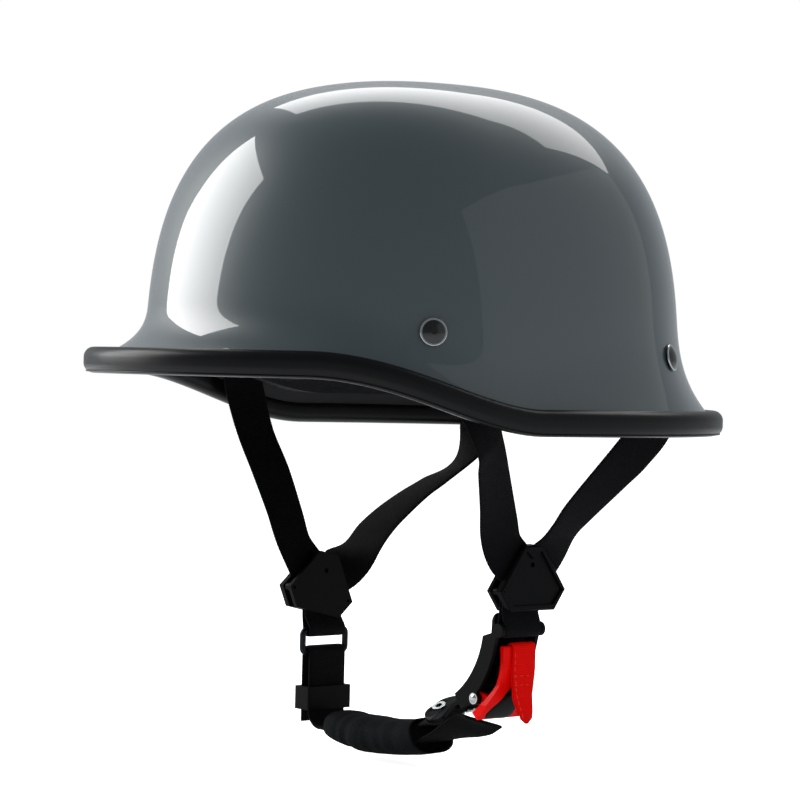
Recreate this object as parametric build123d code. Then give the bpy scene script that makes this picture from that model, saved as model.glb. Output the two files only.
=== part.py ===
from build123d import *
from math import acos, atan2, cos, degrees, hypot, pi, radians, sin, sqrt
import os

os.makedirs("parts", exist_ok=True)

# Half shell motorcycle helmet, in millimetres. The front is -Y, the wearer's left is +X, up is +Z.
# The origin is the centre of the head opening, level with the middle of the edge trim at the nape.

# Dome
dome_half_width = 105.7
dome_front_length = 119.3
dome_rear_length = 128.2
dome_height = 152.2
plan_power = 2.24
side_power = 3.2
crown_power = 2.8

# Skirt: the wall turns out into a brim at the front and a flare at the nape
front_flare = 31.0
side_flare = 10.5
nape_flare = 23.0
front_skirt_height = 27.0
nape_skirt_height = 51.0
skirt_power = 2.8
brow_rise = 22.6
brow_rise_start = 42.0
brow_rise_end = 92.7
flare_side_angle = 75.0
flare_nape_start = 90.0
flare_nape_span = 80.0
skirt_change_start = 80.0
skirt_change_span = 60.0

# Wall, liner and pads
shell_wall = 3.2
liner_gap = 0.3
liner_wall = 14.0
liner_edge_rise = 9.0
pad_thickness = 8.0
pad_gap = 0.3
brow_pad_height = 32.0
brow_pad_half_angle = 58.0
side_pad_height = 44.0
side_pad_start = 74.0
side_pad_end = 126.0
nape_pad_height = 34.0
nape_pad_start = 142.0
pad_edge_rise = 14.0
crown_pad_radius = 46.0
skin_rings = 11
skin_ring_points = 28
skirt_depth = 60.0

# Edge trim
trim_height = 11.7
trim_proud = 3.0
trim_width = 9.6
trim_round = 2.9
trim_sections = 19
shell_edge_drop = 1.5

# Anchor rivets
front_anchor_angle = 66.0
front_anchor_height = 37.7
rear_anchor_angle = 138.0
rear_anchor_height = 29.6
cap_radius = 5.0
cap_dome = 1.3
ring_radius = 6.1
ring_height = 1.5
shank_radius = 2.4
shank_clearance = 0.2
ring_round = 0.5
ring_seat = 0.9
washer_radius = 6.0
washer_thickness = 1.2

# Webbing
web_width = 22.0
web_thickness = 1.5
web_gap = 0.25
anchor_gap = 2.0
washer_gap = 0.3
channel_gap = 1.6
channel_overlap = 5.0
anchor_tail = 9.0
strap_sections = 33
front_strap_exit_y = -28.0
front_strap_exit_height = 14.0
rear_strap_exit_y = 82.0
rear_strap_exit_height = 8.0
strap_exit_bend = 18.0
strap_entry_bend = 20.0
strap_entry_run = 24.0

# Chin plane: the chin loop hangs in an upright plane, turned a little about Z
chin_turn = 11.5
chin_plane_y = 7.4

# Strap dividers
divider_width = 40.0
divider_height = 29.0
divider_front_thickness = 3.4
divider_back_thickness = 2.0
divider_border = 2.4
divider_recess = 1.1
divider_top_half = 5.6
divider_bottom_half = 13.5
divider_corner_rise = 9.0
divider_notch = 3.6
divider_post_radius = 1.8
divider_bore = 0.8
divider_top_bore = 1.2
divider_tip = 2.8
divider_top_post = 5.9
divider_round = 0.7
left_divider_s = 70.2
left_divider_n = 4.0
left_divider_z = -69.5
right_divider_s = -66.3
right_divider_n = -2.0
right_divider_z = -81.5
right_divider_roll = 13.0

# Rectangular ring and strap keeper on the right
ring_wire_radius = 1.5
ring_inner_height = 7.4
ring_side_gap = 0.6
ring_corner_radius = 2.2
ring_s = -63.9
ring_z = -109.2
keeper_height = 11.0
keeper_wall = 1.8
keeper_gap = 0.35
keeper_travel = 13.0
tail_overhang = 6.0

# Chin path: down from the ring, along the chin, and up to the tongue
chin_low_z = -149.6
chin_bend_radius = 8.0
chin_rise_s = -26.0
chin_mid_s = 5.0
chin_mid_z = -143.6

# Toothed tongue, whose curve has its centre inside the chin loop
tongue_centre_s = 21.0
tongue_centre_z = -89.0
tongue_inner_radius = 43.0
tongue_thickness = 1.9
tooth_height = 1.1
tooth_pitch_angle = 3.1
tooth_share = 0.62
tooth_count = 17
tongue_tip_angle = 5.0
tongue_root_angle = -97.0
tongue_half_width = 10.3
tooth_half_width = 6.5
tongue_tip_round = 4.0
tongue_root_round = 8.0
web_end_angle = -62.0
web_leave_angle = -77.5
tongue_rivet_angles = (-65.5, -75.0)
tongue_rivet_radius = 2.4
tongue_rivet_head = 0.8
tongue_shank_radius = 1.4
eyelet_radius = 3.3
eyelet_bore = 1.7
eyelet_height = 0.6
eyelet_angle = -91.5
seat_gap = 0.05

# Buckle receiver
receiver_start_angle = -9.0
receiver_end_angle = -56.0
receiver_floor = 1.8
receiver_gap = 0.35
receiver_wall = 1.9
receiver_wall_height = 6.0
receiver_side_gap = 1.0
web_bar_angle = -4.0
web_bar_orbit = 49.9
web_bar_radius = 1.7
ear_wall = 1.5
ear_foot_angle = 8.0
bridge_start_angle = -49.0
bridge_end_angle = -54.0
bridge_gap = 0.9
bridge_thickness = 1.4

# Lever, its axle and springs
axle_angle = -44.0
axle_orbit = 50.0
axle_radius = 1.5
axle_clearance = 0.06
axle_head_radius = 2.5
axle_head_height = 0.8
axle_ear_radius = 2.8
lever_top_s = 71.2
lever_top_z = -100.6
lever_mid_s = 69.0
lever_mid_z = -117.0
lever_toe_s = 58.6
lever_toe_z = -133.2
lever_plate = 2.2
lever_toe_run = 3.4
lever_toe_rise = 3.0
lever_bottom_width = 26.0
lever_top_width = 19.0
lug_thickness = 2.2
lug_side_gap = 0.35
tab_rod_radius = 1.1
tab_rod_gap = 0.3
tab_slot_gap = 0.4
window_width = 13.0
window_height = 14.0
window_depth = 0.9
window_round = 2.0
window_offset = -1.5
window_fit = 0.1
window_rise = 2.0
window_lean = 1.5
lug_root_lift = 3.0
lug_root_turn = 2.0
pawl_thickness = 0.7
pawl_half_width = 5.0
pawl_tooth = 10
pawl_bite_share = 0.4
pawl_bar_radius = 1.2
pawl_bar_angle = -37.0
pawl_bar_orbit = 50.6
coil_wire_radius = 0.45
coil_gap = 0.25
coil_turns = 4
coil_pitch = 1.1
coil_head_leg = 7.0
coil_foot_leg = 5.0
coil_foot_angle = 35.0
coil_start_n = 6.6

# Pull tab
tab_width = 12.5
tab_layer = 1.1
tab_offset = 3.0
tab_length = 33.0
tab_point = 5.0

# Chin sleeve
sleeve_start_s = -50.0
sleeve_end_share = 0.7
sleeve_end_reach_share = 0.55
sleeve_height = 15.5
sleeve_width = 30.0
sleeve_bore_gap = 0.35
sleeve_sections = 9


def ease(t):
    t = min(max(t, 0), 1)
    return t * t * (3 - 2 * t)


def off_front(angle):
    """The turn from the front, 0 to 180 degrees, on either side."""
    return degrees(acos(max(-1, min(1, cos(radians(angle))))))


def rim_height(angle):
    turn = off_front(angle)
    return brow_rise * (1 - ease((turn - brow_rise_start) / (brow_rise_end - brow_rise_start)))


def flare_reach(angle):
    turn = off_front(angle)
    if turn < flare_nape_start:
        return front_flare + (side_flare - front_flare) * ease(turn / flare_side_angle)
    return side_flare + (nape_flare - side_flare) * ease((turn - flare_nape_start) / flare_nape_span)


def skirt_height(angle):
    share = ease((off_front(angle) - skirt_change_start) / skirt_change_span)
    return front_skirt_height + (nape_skirt_height - front_skirt_height) * share


def plan_radius(angle):
    across = abs(sin(radians(angle))) / dome_half_width
    length = dome_front_length if cos(radians(angle)) > 0 else dome_rear_length
    along = abs(cos(radians(angle))) / length
    return (across**plan_power + along**plan_power) ** (-1 / plan_power)


def skin_radius(angle, z, flared):
    level = min(max(z / dome_height, 0), 1)
    radius = plan_radius(angle) * (1 - level**side_power) ** (1 / crown_power)
    if flared:
        reach = max(1 - (z - rim_height(angle)) / skirt_height(angle), 0)
        grown = reach**skirt_power if reach < 1 else 1 + skirt_power * (reach - 1)
        radius += (flare_reach(angle) - trim_proud) * grown
    return radius


def skin_point(angle, z, flared):
    radius = skin_radius(angle, z, flared)
    return Vector(radius * sin(radians(angle)), -radius * cos(radians(angle)), z)


def skin_normal(angle, z, flared):
    step = dome_height / 2000
    high = min(z + step, dome_height * 0.9995)
    low = high - 2 * step
    up = skin_point(angle, high, flared) - skin_point(angle, low, flared)
    around = skin_point(angle + 0.5, z, flared) - skin_point(angle - 0.5, z, flared)
    return around.cross(up).normalized()


def inset_point(angle, z, inset, flared=True):
    return skin_point(angle, z, flared) - skin_normal(angle, z, flared) * inset


def ring_shares():
    """Shares of the rise from rim to crown, at equal steps along the wall."""
    steps = 240
    walk = [0]
    levels = [0]
    place = (dome_half_width, 0)
    for k in range(1, steps + 1):
        turn = radians(90 * k / steps)
        spot = (dome_half_width * max(cos(turn), 0) ** (2 / crown_power), dome_height * sin(turn) ** (2 / side_power))
        walk.append(walk[-1] + hypot(spot[0] - place[0], spot[1] - place[1]))
        levels.append(spot[1] / dome_height)
        place = spot
    shares = []
    for k in range(skin_rings):
        target = walk[-1] * k / skin_rings
        j = next(i for i, length in enumerate(walk) if length >= target)
        shares.append(levels[j])
    return shares


def closed_skin(inset, flared=True):
    """A closed solid under the skin, moved in by inset, with a straight skirt below the rim."""
    wires = []
    angles = [360 * k / skin_ring_points for k in range(skin_ring_points)]
    for share in ring_shares():
        points = []
        for angle in angles:
            z = rim_height(angle) - shell_edge_drop
            z += (dome_height - z) * share
            points.append(inset_point(angle, z, inset, flared))
        wires.append(Wire([Edge.make_spline(points, periodic=True)]))
    crown = Vertex(0, 0, dome_height - inset)
    dome = Shell.make_loft(wires + [crown])
    foot_points = []
    for angle in angles:
        spot = inset_point(angle, rim_height(angle) - shell_edge_drop, inset, flared)
        foot_points.append(Vector(spot.X, spot.Y, -skirt_depth))
    foot = Wire([Edge.make_spline(foot_points, periodic=True)])
    skirt = Shell.make_loft([wires[0], foot], ruled=True)
    return Solid(Shell(list(dome.faces()) + list(skirt.faces()) + [Face(foot)]))


def rim_prism(lift):
    """All the space above the rim line raised by lift, seen from the side."""
    points = []
    for k in range(25):
        angle = 180 * k / 24
        spot = skin_point(angle, rim_height(angle), True)
        points.append((spot.Y, rim_height(angle) + lift))
    front = (points[0][0] - skirt_depth, points[0][1])
    rear = (points[-1][0] + skirt_depth, points[-1][1])
    top = dome_height + skirt_depth
    line = Line(front, points[0]) + Spline(*points, tangents=((1, 0), (1, 0))) + Line(points[-1], rear)
    line += Polyline(rear, (rear[0], top), (front[0], top), front)
    return extrude(Plane.YZ * make_face(line.edges()), amount=2 * dome_half_width, both=True)


def made_shell():
    wall = closed_skin(0) - closed_skin(shell_wall)
    return wall & rim_prism(-shell_edge_drop / 2)


def made_trim(shell):
    sections = []
    for k in range(trim_sections):
        angle = 180 * k / (trim_sections - 1)
        z = rim_height(angle)
        radius = skin_radius(angle, z, True) + trim_proud - trim_width / 2
        spot = Vector(radius * sin(radians(angle)), -radius * cos(radians(angle)), z)
        out = Vector(sin(radians(angle)), -cos(radians(angle)), 0)
        plane = Plane(spot, x_dir=out, z_dir=out.cross(Vector(0, 0, 1)))
        sections.append(plane * RectangleRounded(trim_width, trim_height, trim_round))
    half = loft(sections)
    return (half + mirror(half, about=Plane.YZ)) - shell


def wedge(start, end, low, high):
    """A sector of the helmet between two turns from the front, towards +X."""
    reach = 2 * dome_rear_length
    steps = 6
    turns = [start + (end - start) * k / steps for k in range(steps + 1)]
    corners = [(reach * sin(radians(t)), -reach * cos(radians(t))) for t in turns]
    sector = make_face(Polyline((0, 0), *corners, (0, 0)).edges())
    return extrude(Plane.XY.offset(low) * sector, amount=high - low)


def keep_solid(shape):
    """The largest solid of a cut."""
    return max(shape.solids(), key=lambda body: body.volume)


def anchor_frames():
    frames = []
    for side in (1, -1):
        for angle, z in ((front_anchor_angle, front_anchor_height), (rear_anchor_angle, rear_anchor_height)):
            turn = side * angle
            frames.append(Plane(skin_point(turn, z, True), z_dir=skin_normal(turn, z, True)))
    return frames


def disc(frame, radius, low, high):
    return extrude(frame.offset(low) * Circle(radius), amount=high - low)


def ribbon(path, facings, width, thickness, sections):
    """A flat strap along a path. The facings are the way its flat side looks at equal steps."""
    faces = []
    for k in range(sections):
        t = k / (sections - 1)
        spot = path.position_at(t)
        way = path.tangent_at(t)
        slot = min(int(t * (len(facings) - 1)), len(facings) - 2)
        share = ease(t * (len(facings) - 1) - slot)
        face = Vector(*facings[slot]) * (1 - share) + Vector(*facings[slot + 1]) * share
        plane = Plane(spot, x_dir=way.cross(face).normalized(), z_dir=way)
        faces.append(plane * Rectangle(width, thickness))
    return loft(faces)


def chin_place(shape):
    return Location((0, chin_plane_y, 0), (0, 0, chin_turn)) * shape


def chin_spot(s, n, z):
    turn = radians(chin_turn)
    return Vector(s * cos(turn) - n * sin(turn), chin_plane_y + s * sin(turn) + n * cos(turn), z)


def chin_way(s, n, z):
    return chin_spot(s, n, z) - chin_spot(0, 0, 0)


def side_extrude(face, half_width):
    """A profile drawn in the chin plane, given its width."""
    return extrude(Plane.XZ * face, amount=half_width, both=True)


def polar(orbit, angle):
    return (tongue_centre_s + orbit * cos(radians(angle)), tongue_centre_z + orbit * sin(radians(angle)))


def arc_band(inner, outer, start, end):
    centre = (tongue_centre_s, tongue_centre_z)
    edges = CenterArc(centre, outer, start, end - start) + Line(polar(outer, end), polar(inner, end))
    edges += CenterArc(centre, inner, end, start - end) + Line(polar(inner, start), polar(outer, start))
    return make_face(edges.edges())


def polar_disc(angle, radius, low, high):
    """A disc whose axis points from the tongue's centre."""
    spot = polar(low, angle)
    way = (cos(radians(angle)), 0, sin(radians(angle)))
    plane = Plane((spot[0], 0, spot[1]), x_dir=(0, 1, 0), z_dir=way)
    return extrude(plane * Circle(radius), amount=high - low)


def upper_loop(bar, bar_radius, top_s, middle_z):
    """Webbing that comes down from a divider in two layers and turns round a bar."""
    turn = bar_radius + web_gap + web_thickness / 2
    down = (0, -1)
    up = (0, 1)
    top_z = middle_z - divider_height / 6
    foot_z = middle_z - divider_height / 2
    line = Line((top_s + layer, top_z), (top_s + layer, foot_z))
    line += Spline((top_s + layer, foot_z), (bar[0] + turn, bar[1]), tangents=(down, down))
    line += CenterArc(bar, turn, 0, -180)
    line += Spline((bar[0] - turn, bar[1]), (top_s - layer, foot_z), tangents=(up, up))
    line += Line((top_s - layer, foot_z), (top_s - layer, top_z))
    return side_extrude(strip(line, web_thickness), web_width / 2)


def strip(line, thickness):
    """The side view of webbing that follows a line."""
    return trace(line, line_width=thickness)


def divider_outline(inset, notch):
    half = divider_width / 2 - inset
    top = divider_height / 2 - inset
    low = -divider_height / 2 + inset
    corner = -divider_height / 2 + divider_corner_rise
    upper = divider_top_half - inset / 2
    lower = divider_bottom_half - inset / 2
    points = [(upper, top), (half, corner), (lower, low), (-lower, low), (-half, corner), (-upper, top)]
    if notch:
        points.append((0, top - notch))
    return make_face(Polyline(*points, points[0]).edges())


def divider_frame(side):
    """The middle of a divider in chin plane coordinates, with its Z away from the face."""
    if side > 0:
        return Plane((left_divider_s, left_divider_n, left_divider_z), x_dir=(0, 1, 0), z_dir=(1, 0, 0))
    roll = radians(right_divider_roll)
    middle = (right_divider_s, right_divider_n, right_divider_z)
    return Plane(middle, x_dir=(0, -cos(roll), sin(roll)), z_dir=(-1, 0, 0))


def made_divider(side):
    """The front and back plate of a strap divider, joined by three posts with a bore through each."""
    gap = 2 * web_thickness + 3 * web_gap
    middle = divider_frame(side)
    face = middle.offset(gap / 2)
    back = middle.offset(-gap / 2)
    front_plate = extrude(face * divider_outline(0, 0), amount=divider_front_thickness)
    rim_edges = front_plate.faces().sort_by(Axis.X)[-1 if side > 0 else 0].edges()
    front_plate = chamfer(rim_edges, divider_round)
    panel = face.offset(divider_front_thickness - divider_recess) * divider_outline(divider_border, divider_notch)
    front_plate -= extrude(panel, amount=divider_recess)
    back_plate = extrude(back * divider_outline(0, 0), amount=-divider_back_thickness)
    post_side = divider_width / 2 - divider_tip
    post_low = -divider_height / 2 + divider_corner_rise
    posts = ((post_side, post_low, divider_bore), (-post_side, post_low, divider_bore), (0, divider_top_post, divider_top_bore))
    for along, up, bore_radius in posts:
        post = extrude(face * Pos(along, up) * Circle(divider_post_radius), amount=-(gap + divider_back_thickness / 2))
        bore = extrude(middle * Pos(along, up) * Circle(bore_radius), amount=divider_height / 2, both=True)
        front_plate = front_plate + post - bore
        back_plate = back_plate - post - bore
    return chin_place(front_plate), chin_place(back_plate)


def channel_bar(start, end, look):
    """The room for one straight run of a strap, whose flat side looks along look."""
    way = (end - start).normalized()
    wide = web_width + 2 * channel_gap
    deep = web_thickness + 2 * anchor_gap + channel_gap
    section = Plane(start, x_dir=way.cross(look), z_dir=way) * Rectangle(wide, deep)
    return extrude(section, amount=(end - start).length)


def made_strap(side, angle, height, exit_y, exit_height, end, plate_way):
    """A strap from its anchor rivet to its divider, and the channel that it needs in the liner.

    It runs straight along the wall past its rivet, bends at the liner's edge, and bends again
    just above the divider, where it turns flat between the two plates.
    """
    depth = shell_wall + anchor_gap + web_thickness / 2
    anchor = inset_point(side * angle, height, depth)
    look = skin_normal(side * angle, height, True)
    exit_angle = degrees(acos(-exit_y / plan_radius(angle)))
    along_wall = inset_point(side * exit_angle, exit_height, depth) - anchor
    along_wall -= look * along_wall.dot(look)
    leave = anchor + along_wall
    flat = end - leave
    flat = (flat - plate_way * flat.dot(plate_way)).normalized()
    entry = end - flat * strap_entry_run
    bends = (strap_exit_bend, strap_entry_bend)
    mid_look = (look * 3 + plate_way * 2) / 5
    late_look = (look + plate_way * 4) / 5
    facings = [look, look, mid_look, late_look, plate_way, plate_way]
    tail = anchor - along_wall.normalized() * anchor_tail
    path = FilletPolyline(tail, leave, entry, end, radius=bends)
    strap = ribbon(path, facings, web_width, web_thickness, strap_sections)
    channel_end = tail - along_wall.normalized() * channel_gap
    way_out = (entry - leave).normalized()
    channel = channel_bar(channel_end, leave + along_wall.normalized() * channel_overlap, look)
    channel += channel_bar(leave - way_out * channel_overlap, leave + way_out * strap_entry_run, mid_look)
    return strap, channel


def sleeve_spot(t, rise):
    """A point of the sleeve's middle and its way, from its start to its end."""
    flat = chin_rise_s - sleeve_start_s
    bend = rise.length * sleeve_end_reach_share
    walk = t * (flat + bend)
    if walk < flat:
        return Vector(sleeve_start_s + walk, chin_low_z), Vector(1, 0)
    share = (walk - flat) / rise.length
    return rise.position_at(share), rise.tangent_at(share)


def lever_profile(inset):
    """The lever's side view, with its outer face moved in by inset."""
    top = (lever_top_s - inset, lever_top_z)
    mid = (lever_mid_s - inset, lever_mid_z)
    toe = (lever_toe_s - inset, lever_toe_z)
    inner_toe = (lever_toe_s - lever_toe_run, lever_toe_z + lever_toe_rise)
    inner_mid = (lever_mid_s - lever_plate, lever_mid_z)
    inner_top = (lever_top_s - lever_plate, lever_top_z)
    line = ThreePointArc(top, mid, toe) + Line(toe, inner_toe)
    line += ThreePointArc(inner_toe, inner_mid, inner_top) + Line(inner_top, top)
    return make_face(line.edges())


def across(face, low, high):
    """A profile drawn in the chin plane, between two places across it."""
    return extrude(Plane.XZ.offset(-high) * face, amount=high - low)


def both_sides(face, low, high):
    return across(face, low, high) + across(face, -high, -low)


nodes = {}
layer = (web_thickness + web_gap) / 2
tongue_outer = tongue_inner_radius + tongue_thickness
tooth_outer = tongue_outer + tooth_height
web_orbit = tongue_outer + seat_gap + web_thickness / 2

# Shell, trim and liner
frames = anchor_frames()
shell = made_shell()
for frame in frames:
    shell -= disc(frame, shank_radius + shank_clearance, -2 * shell_wall, shell_wall)
shell = keep_solid(shell)
nodes["outer_shell"] = shell
nodes["edge_trim"] = made_trim(shell)
liner_outer = shell_wall + liner_gap
liner_inner = liner_outer + liner_wall
liner_hollow = closed_skin(liner_inner, False)
liner = (closed_skin(liner_outer, False) - liner_hollow) & rim_prism(liner_edge_rise)
seat_depth = -shell_wall - anchor_gap - web_thickness - washer_gap
washer_well = washer_thickness + channel_gap - seat_depth
pad_inner = closed_skin(liner_inner + pad_gap + pad_thickness, False)
pad_space = closed_skin(liner_inner + pad_gap, False)

# Straps and the channels that they lie in
front_anchor = (front_anchor_angle, front_anchor_height, front_strap_exit_y, front_strap_exit_height)
rear_anchor = (rear_anchor_angle, rear_anchor_height, rear_strap_exit_y, rear_strap_exit_height)
strap_specs = (
    ("strap_left_front", 1, front_anchor, -1),
    ("strap_left_rear", 1, rear_anchor, 1),
    ("strap_right_front", -1, front_anchor, -1),
    ("strap_right_rear", -1, rear_anchor, 1),
)
for name, side, anchor_places, fore in strap_specs:
    middle = divider_frame(side)
    spot = middle.from_local_coords((side * fore * divider_top_half, divider_height / 6, -fore * layer))
    end = chin_spot(spot.X, spot.Y, spot.Z)
    strap, channel = made_strap(side, *anchor_places, end, chin_way(side, 0, 0))
    for frame in frames:
        strap -= disc(frame, shank_radius + shank_clearance, seat_depth, 0)
    eye = middle * Pos(0, divider_top_post) * Circle(divider_post_radius + shank_clearance)
    nodes[name] = strap - chin_place(extrude(eye, amount=divider_height / 2, both=True))
    liner -= channel
for frame in frames:
    liner -= disc(frame, washer_radius + channel_gap, -washer_well, 0)
nodes["foam_liner"] = keep_solid(liner)

# Comfort pads
pad_layer = pad_space - pad_inner
low = brow_rise + pad_edge_rise
brow = wedge(-brow_pad_half_angle, brow_pad_half_angle, low, low + brow_pad_height)
nodes["brow_pad"] = keep_solid(pad_layer & brow)
side_cut = wedge(side_pad_start, side_pad_end, pad_edge_rise, pad_edge_rise + side_pad_height)
nodes["side_pad_left"] = keep_solid(pad_layer & side_cut)
nodes["side_pad_right"] = keep_solid(pad_layer & mirror(side_cut, about=Plane.YZ))
nape_cut = wedge(nape_pad_start, 360 - nape_pad_start, pad_edge_rise, pad_edge_rise + nape_pad_height)
nodes["nape_pad"] = keep_solid(pad_layer & nape_cut)
crown_column = extrude(Circle(crown_pad_radius), amount=dome_height)
nodes["crown_pad"] = keep_solid(pad_layer & crown_column)

# Anchor rivets
caps = []
rings = []
washers = []
for frame in frames:
    ring = disc(frame, ring_radius, ring_seat, ring_height)
    ring = fillet(ring.faces().sort_by(Axis(frame.origin, frame.z_dir))[-1].edges(), ring_round)
    rings.append(ring - disc(frame, cap_radius + seat_gap, ring_seat, ring_height))
    low = seat_depth - washer_thickness
    profile = Polyline((0, low), (shank_radius, low), (shank_radius, ring_seat), (cap_radius, ring_seat),
                       (cap_radius, ring_height))
    ball = (cap_radius**2 + cap_dome**2) / (2 * cap_dome)
    rise = (ball - sqrt(ball**2 - cap_radius**2 / 4)) * cap_dome / (ball - sqrt(ball**2 - cap_radius**2))
    profile += ThreePointArc((cap_radius, ring_height), (cap_radius / 2, ring_height + cap_dome - rise), (0, ring_height + cap_dome))
    profile += Line((0, ring_height + cap_dome), (0, low))
    cap = frame * revolve(Plane.XZ * make_face(profile.edges()), Axis.Z)
    caps.append(cap)
    washer = disc(frame, washer_radius, seat_depth - washer_thickness, seat_depth)
    washers.append(washer - disc(frame, shank_radius + seat_gap, seat_depth - washer_thickness, seat_depth))
nodes["anchor_caps"] = Compound(children=caps)
nodes["anchor_rings"] = Compound(children=rings)
nodes["anchor_washers"] = Compound(children=washers)

# Strap dividers
left_front, left_back = made_divider(1)
right_front, right_back = made_divider(-1)
nodes["divider_left_front"] = left_front
nodes["divider_left_back"] = left_back
nodes["divider_right_front"] = right_front
nodes["divider_right_back"] = right_back

# Webbing below the dividers
web_bar = polar(web_bar_orbit, web_bar_angle)
left_web = upper_loop(web_bar, web_bar_radius, left_divider_s, left_divider_z)
nodes["web_left"] = chin_place(left_web)
bar_lift = ring_inner_height / 2 + ring_wire_radius
top_bar = (ring_s, ring_z + bar_lift)
low_bar = (ring_s, ring_z - bar_lift)
right_web = upper_loop(top_bar, ring_wire_radius, right_divider_s, right_divider_z)
nodes["web_right_upper"] = chin_place(right_web)

# Rectangular ring
ring_half = web_width / 2 + ring_side_gap + ring_wire_radius
ring_path = Plane.YZ * RectangleRounded(2 * ring_half, 2 * bar_lift, ring_corner_radius).wire()
ring_start = Plane(ring_path.position_at(0), z_dir=ring_path.tangent_at(0))
ring_wire = sweep(ring_start * Circle(ring_wire_radius), path=ring_path)
nodes["rectangular_ring"] = chin_place(Pos(ring_s, 0, ring_z) * ring_wire)

# Webbing below the ring, with the free tail and its keeper
leg = ring_wire_radius + web_gap + web_thickness / 2
bend_z = chin_low_z + chin_bend_radius
keeper_z = bend_z + keeper_height / 2
tail_z = keeper_z - keeper_height / 2 - tail_overhang
tail_line = Line((ring_s - leg, tail_z), (ring_s - leg, low_bar[1]))
tail_line += CenterArc(low_bar, leg, 180, -180)
tail_line += Line((ring_s + leg, low_bar[1]), (ring_s + leg, bend_z))
nodes["web_right_lower"] = chin_place(side_extrude(strip(tail_line, web_thickness), web_width / 2))
hole = web_thickness + 2 * keeper_gap
keeper = Box(2 * leg + hole + 2 * keeper_wall, web_width + 2 * keeper_gap + 2 * keeper_wall, keeper_height)
keeper = fillet(keeper.edges().filter_by(Axis.Z), keeper_wall / 2)
for leg_s in (-leg, leg):
    keeper -= Pos(leg_s, 0, 0) * Box(hole, web_width + 2 * keeper_gap, keeper_height)
nodes["strap_keeper"] = chin_place(Pos(ring_s, 0, keeper_z) * keeper)

# Chin web and its sleeve
bend_centre = (ring_s + leg + chin_bend_radius, bend_z)
web_leave = polar(web_orbit, web_leave_angle)
leave_way = (-sin(radians(web_leave_angle)), cos(radians(web_leave_angle)))
rise_points = ((chin_rise_s, chin_low_z), (chin_mid_s, chin_mid_z), web_leave)
chin_bend = CenterArc(bend_centre, chin_bend_radius, 180, 90)
chin_flat = Line((bend_centre[0], chin_low_z), (chin_rise_s, chin_low_z))
chin_rise = Spline(*rise_points, tangents=((1, 0), leave_way))
chin_arc = CenterArc((tongue_centre_s, tongue_centre_z), web_orbit, web_leave_angle, web_end_angle - web_leave_angle)
chin_line = chin_bend + chin_flat + chin_rise + chin_arc
chin_web = side_extrude(strip(chin_line, web_thickness), web_width / 2)
sleeve_line = Line((sleeve_start_s, chin_low_z), (chin_rise_s, chin_low_z)) + chin_rise
sleeve_faces = []
for k in range(sleeve_sections):
    t = k / (sleeve_sections - 1)
    spot, way = sleeve_spot(t, chin_rise)
    size = sleeve_end_share + (1 - sleeve_end_share) * sin(pi * t) ** 0.5
    plane = Plane((spot.X, 0, spot.Y), x_dir=(0, 1, 0), z_dir=(way.X, 0, way.Y))
    sleeve_faces.append(plane * Ellipse(sleeve_width / 2 * size, sleeve_height / 2 * size))
bore_line = chin_flat + chin_rise
bore = strip(bore_line, web_thickness + 2 * sleeve_bore_gap)
sleeve = loft(sleeve_faces) - side_extrude(bore, web_width / 2 + sleeve_bore_gap)
nodes["chin_sleeve"] = chin_place(keep_solid(sleeve))

# Toothed tongue, its rivets and its eyelet
tongue = side_extrude(arc_band(tongue_inner_radius, tongue_outer, tongue_tip_angle, tongue_root_angle), tongue_half_width)
corners = tongue.edges().filter_by(lambda edge: abs(edge.length - tongue_thickness) < seat_gap)
tip_corners = corners.sort_by(Axis.Z)[-2:]
tongue = fillet(tip_corners, tongue_tip_round)
corners = tongue.edges().filter_by(lambda edge: abs(edge.length - tongue_thickness) < seat_gap)
root_corners = corners.sort_by(Axis.X)[:2]
tongue = fillet(root_corners, tongue_root_round)
for k in range(tooth_count):
    start = tongue_tip_angle - tooth_pitch_angle * (k + 2)
    foot = polar(tongue_outer - seat_gap, start)
    toe = polar(tongue_outer - seat_gap, start + tooth_share * tooth_pitch_angle)
    top = polar(tooth_outer, start)
    tooth = make_face(Polyline(foot, top, toe, foot).edges())
    tongue += side_extrude(tooth, tooth_half_width)
for angle in tongue_rivet_angles:
    hole = polar_disc(angle, tongue_shank_radius + seat_gap, tongue_inner_radius - tongue_thickness, tooth_outer)
    tongue -= hole
    chin_web -= polar_disc(angle, tongue_shank_radius + seat_gap, tongue_outer - web_thickness, tooth_outer + web_thickness)
tongue -= polar_disc(eyelet_angle, eyelet_bore + eyelet_height, tongue_inner_radius - tongue_thickness, tooth_outer)
nodes["chin_web"] = chin_place(chin_web)
nodes["tongue"] = chin_place(tongue)
rivets = []
web_outer = web_orbit + web_thickness / 2
for angle in tongue_rivet_angles:
    sag = tongue_rivet_radius**2 / (2 * tongue_inner_radius)
    low = tongue_inner_radius - seat_gap
    inner_head = polar_disc(angle, tongue_rivet_radius, low - sag - tongue_rivet_head, low - sag)
    shank = polar_disc(angle, tongue_shank_radius, low - sag, web_outer + seat_gap)
    outer_head = polar_disc(angle, tongue_rivet_radius, web_outer + seat_gap, web_outer + seat_gap + tongue_rivet_head)
    rivets.append(inner_head + shank + outer_head)
nodes["tongue_rivets"] = chin_place(Compound(children=rivets))
eye_low = tongue_inner_radius - seat_gap - eyelet_radius**2 / (2 * tongue_inner_radius)
eyelet = polar_disc(eyelet_angle, eyelet_radius, eye_low - eyelet_height, eye_low)
eyelet += polar_disc(eyelet_angle, eyelet_bore + eyelet_height - seat_gap, eye_low, tongue_outer + seat_gap)
eyelet += polar_disc(eyelet_angle, eyelet_radius, tongue_outer + seat_gap, tongue_outer + seat_gap + eyelet_height)
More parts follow.
